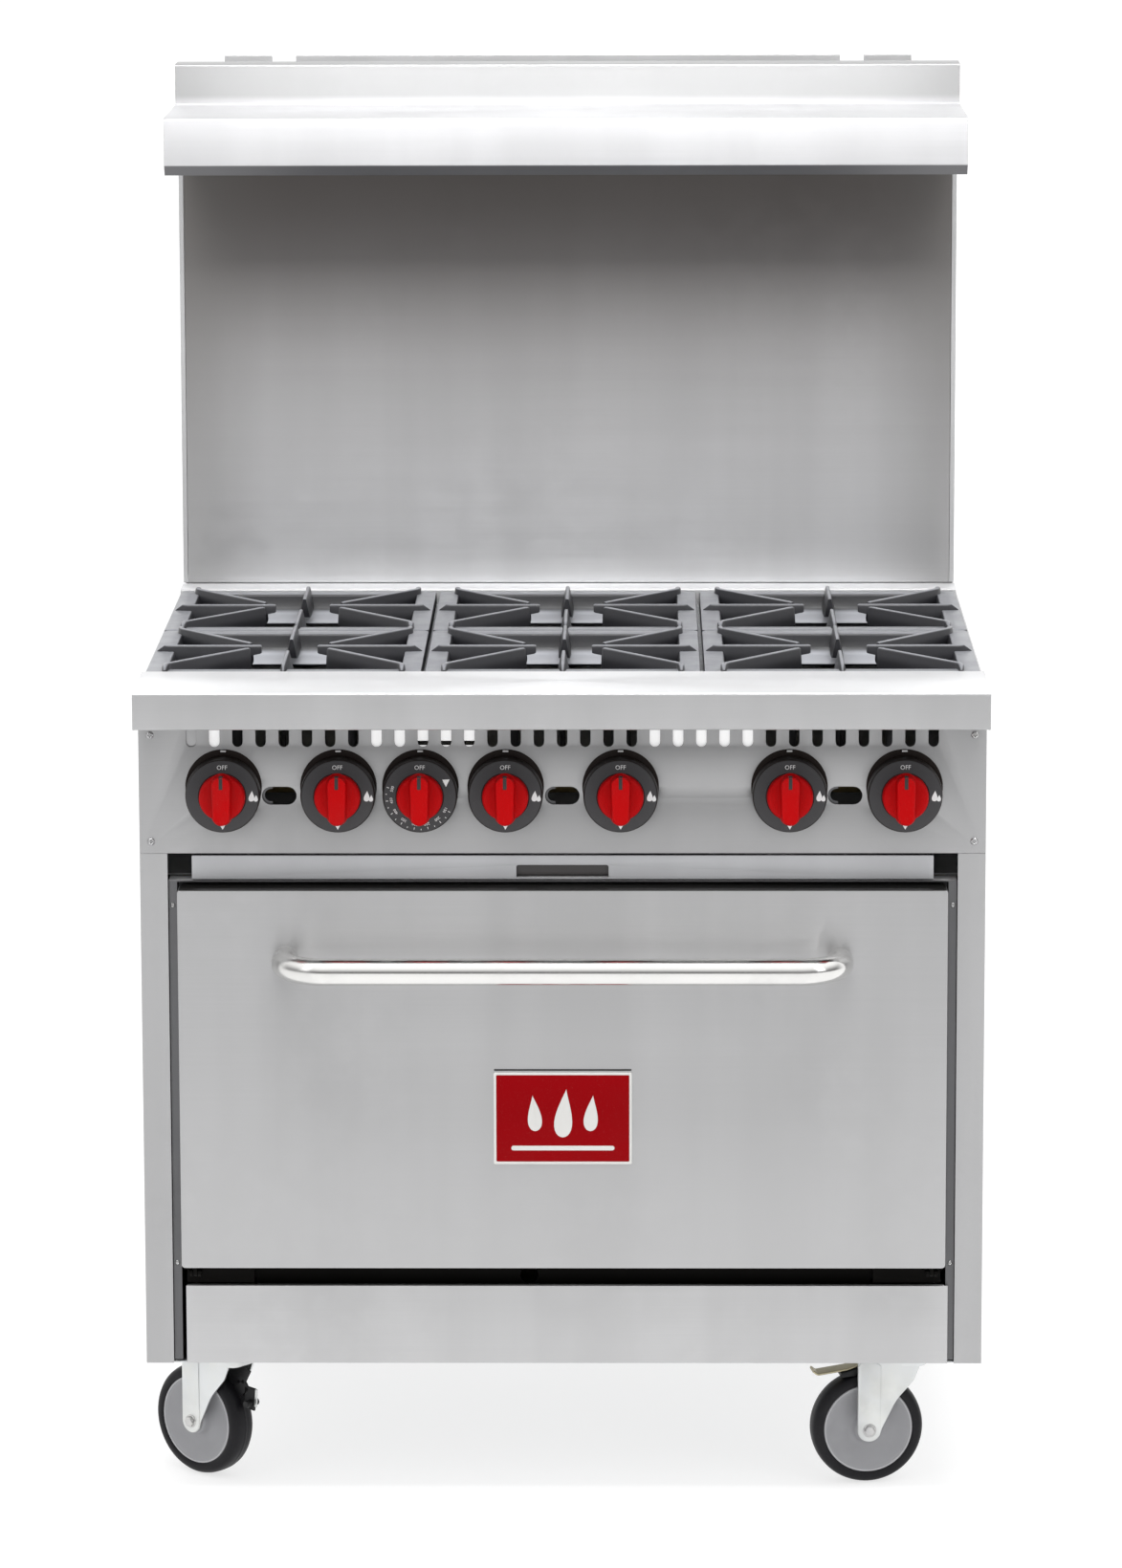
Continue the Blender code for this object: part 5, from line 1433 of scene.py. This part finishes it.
def make_casters():
    """Four casters turned to where their joints say, the two front ones with a brake lever."""
    fork, axle, wheel, tyre, rings = (caster_fork(), caster_axle(), caster_wheel(), caster_tyre(),
                                      hub_rings())
    bolts = []
    for name in ("front_left", "front_right", "rear_left", "rear_right"):
        joint = next(j for j in frame["joints"] if j["name"] == f"caster_{name}_swivel")
        spin = next(j for j in frame["joints"] if j["name"] == f"wheel_{name}_spin")
        swivel, hub = (np.array(j["pos_m"]) for j in (joint, spin))
        angle = math.atan2(hub[1] - swivel[1], hub[0] - swivel[0])
        place = (swivel[0] / MM, (swivel[1] - FACE_Y) / MM)
        body, rolling = f"caster_{name}", f"wheel_{name}"

        def put(shape):
            return turned_about_z(shape, angle, place)

        piece(f"caster_{name}_fork", put(fork), ZINC, body,
              (f"caster_fork_{name}",), 40)
        piece(f"caster_{name}_axle", put(axle), BOLT, body)
        piece(f"caster_{name}_disc", put(wheel), NYLON, rolling,
              (f"caster_wheel_{name}",), 40)
        piece(f"caster_{name}_disc_rings", put(rings), NYLON_PALE, rolling)
        piece(f"caster_{name}_tyre", put(tyre), RUBBER, rolling,
              (f"caster_tyre_{name}",), 50)
        for sx in (-1, 1):
            for sd in (-1, 1):
                at = (place[0] + sx * 36.0, place[1] + sd * 28.0, 151.2)
                bolts.append(hexagon_head(at, (0, 0, -1), 8.0, 3.6, 6.0))
        brake = f"brake_{name}"
        if name == "front_right":
            tongue, shoe = trailing_brake()
            lift = (48.0, 0.0, 130.5)
            piece(f"{brake}_lever", put(moved(tongue, lift)), ZINC_WARM, brake,
                  (f"brake_pedal_{name}",))
            piece(f"{brake}_shoe", put(moved(shoe, lift)), BLACK, brake)
        if name == "front_left":
            leg, tab, roller = leading_brake()
            lift = (-22.0, 0.0, 130.5)
            piece(f"{brake}_lever", put(moved(leg, lift)), BLACK, brake,
                  (f"brake_pedal_{name}",))
            piece(f"{brake}_tab", put(moved(tab, lift)), ZINC, brake)
            piece(f"{brake}_roller", put(moved(roller, lift)), BLACK, brake)
    piece("caster_plate_bolts", gathered(*bolts), BOLT, ROOT)


# ---------------------------------------------------------------- screws

def make_screws():
    """Pan heads on the front flanges and jamb strips, and over the back and the duct."""
    front = [(side * 444.6, 0.0, z) for side in (-1, 1) for z in (738.0, 855.0)]
    strips = [(side * 422.4, 4.0, z) for side in (-1, 1) for z in (667.0, 267.5)]
    heads = [screw_head(at, FORWARDS) for at in front]
    heads += [screw_head(at, FORWARDS, 2.6, 1.2) for at in strips]
    piece("front_screws", gathered(*heads), BOLT, ROOT)
    low, high = extent("back_panel")
    back = [(x, high[1] - 0.1, z) for x in (-440.0, -220.0, 0.0, 220.0, 440.0)
            for z in (low[2] + 12.0, high[2] - 14.0)]
    back += [(side * 440.0, high[1] - 0.1, z) for side in (-1, 1) for z in (340.0, 530.0, 720.0)]
    low, high = extent("flue_duct")
    back += [(x, high[1] - 0.1, z) for x in (-430.0, -215.0, 0.0, 215.0, 430.0)
             for z in (925.0, 1500.0)]
    heads = [screw_head((x, d, z), TO_BACK, 3.8, 1.6) for x, d, z in back]
    piece("back_screws", gathered(*heads), BOLT, ROOT)


def make_range():
    """Every piece of the range."""
    make_body()
    make_control_panel()
    make_rail()
    make_shelf()
    make_door()
    make_tray()
    make_knobs()
    make_grates()
    make_burners()
    make_oven()
    make_casters()
    make_screws()


# ---------------------------------------------------------------- studio

def make_surround():
    """White overhead and behind the range, and dim low down in front of it: brightness follows the
    height z and the depth y of the direction looked in."""
    world = bpy.data.worlds.new("surround")
    world.use_nodes = True
    tree = world.node_tree
    split = tree.nodes.new("ShaderNodeSeparateXYZ")
    tree.links.new(tree.nodes.new("ShaderNodeTexCoord").outputs["Generated"], split.inputs[0])
    overhead = spread(tree, split.outputs["Z"], 0.10, 0.75, 0.0, 1.0)
    behind = spread(tree, split.outputs["Y"], -0.15, 0.45, 0.0, 1.0)
    white = math_node(tree, "MAXIMUM", overhead, behind)
    level = math_node(tree, "MULTIPLY_ADD", white, SURROUND_WHITE - SURROUND_DIM, SURROUND_DIM)
    background = tree.nodes["Background"]
    background.inputs["Color"].default_value = (1.0, 1.0, 1.0, 1.0)
    tree.links.new(level, background.inputs["Strength"])
    bpy.context.scene.world = world


def make_lamp(name, place, aim, size, power):
    """A soft panel that faces a point, out of the camera's sight."""
    lamp = bpy.data.lights.new(name, "AREA")
    lamp.shape = "RECTANGLE"
    lamp.size, lamp.size_y = size
    lamp.energy = power
    obj = bpy.data.objects.new(name, lamp)
    obj.location = place
    obj.rotation_euler = (Vector(aim) - Vector(place)).to_track_quat("-Z", "Y").to_euler()
    obj.visible_camera = False
    bpy.context.scene.collection.objects.link(obj)


SURROUND_WHITE = 1.25
SURROUND_DIM = 0.22
LAMPS = (
    ("hood_panel", (0.0, -0.95, 2.40), (0.0, 0.15, 1.35), (2.2, 0.5), 38.0),
    ("left_panel", (-3.4, -3.4, 2.8), (0.0, 0.0, 0.8), (1.4, 2.4), 10.0),
    ("right_panel", (3.6, -3.2, 2.6), (0.0, 0.0, 0.8), (1.4, 2.4), 18.0),
)


def make_studio():
    """A pale floor out of sight of its own far edge, the surround and the lamps."""
    half, drop = 60.0, -0.0006
    mesh = bpy.data.meshes.new("floor")
    mesh.from_pydata([(-half, -half, drop), (half, -half, drop), (half, half, drop),
                      (-half, half, drop)], [], [(0, 1, 2, 3)])
    floor = bpy.data.objects.new("floor", mesh)
    paper = Finish("pale_floor", (0.34, 0.34, 0.34), 0.75, 0.0, Specular_IOR_Level=0.2,
                   Emission_Color=(1.0, 1.0, 1.0, 1.0), Emission_Strength=0.70)
    paper.shine(noise(paper.tree, paper.vector, 3.0), 0.05)
    mesh.materials.append(paper.material)
    bpy.context.scene.collection.objects.link(floor)
    make_surround()
    for lamp in LAMPS:
        make_lamp(*lamp)


CAMERA_PLACE = (0.0777, -7.0008, 2.0733)
CAMERA_DOWN, CAMERA_ROLL, CAMERA_LEFT = 9.749, 0.144, 0.651
CAMERA_LENS, CAMERA_SHIFT = 144.5, -0.0732


def make_camera():
    """A long lens, high and far off, with a little shift to keep the uprights nearly parallel."""
    camera = bpy.data.cameras.new("camera")
    camera.sensor_width = 36.0
    camera.lens = CAMERA_LENS
    camera.shift_y = CAMERA_SHIFT
    camera.clip_end = 60.0
    obj = bpy.data.objects.new("camera", camera)
    obj.location = CAMERA_PLACE
    obj.rotation_euler = Euler((math.radians(90 - CAMERA_DOWN), math.radians(CAMERA_ROLL),
                                math.radians(CAMERA_LEFT)))
    bpy.context.scene.collection.objects.link(obj)
    bpy.context.scene.camera = obj
    bpy.context.scene.view_settings.view_transform = "Standard"


make_range()
make_studio()
make_camera()
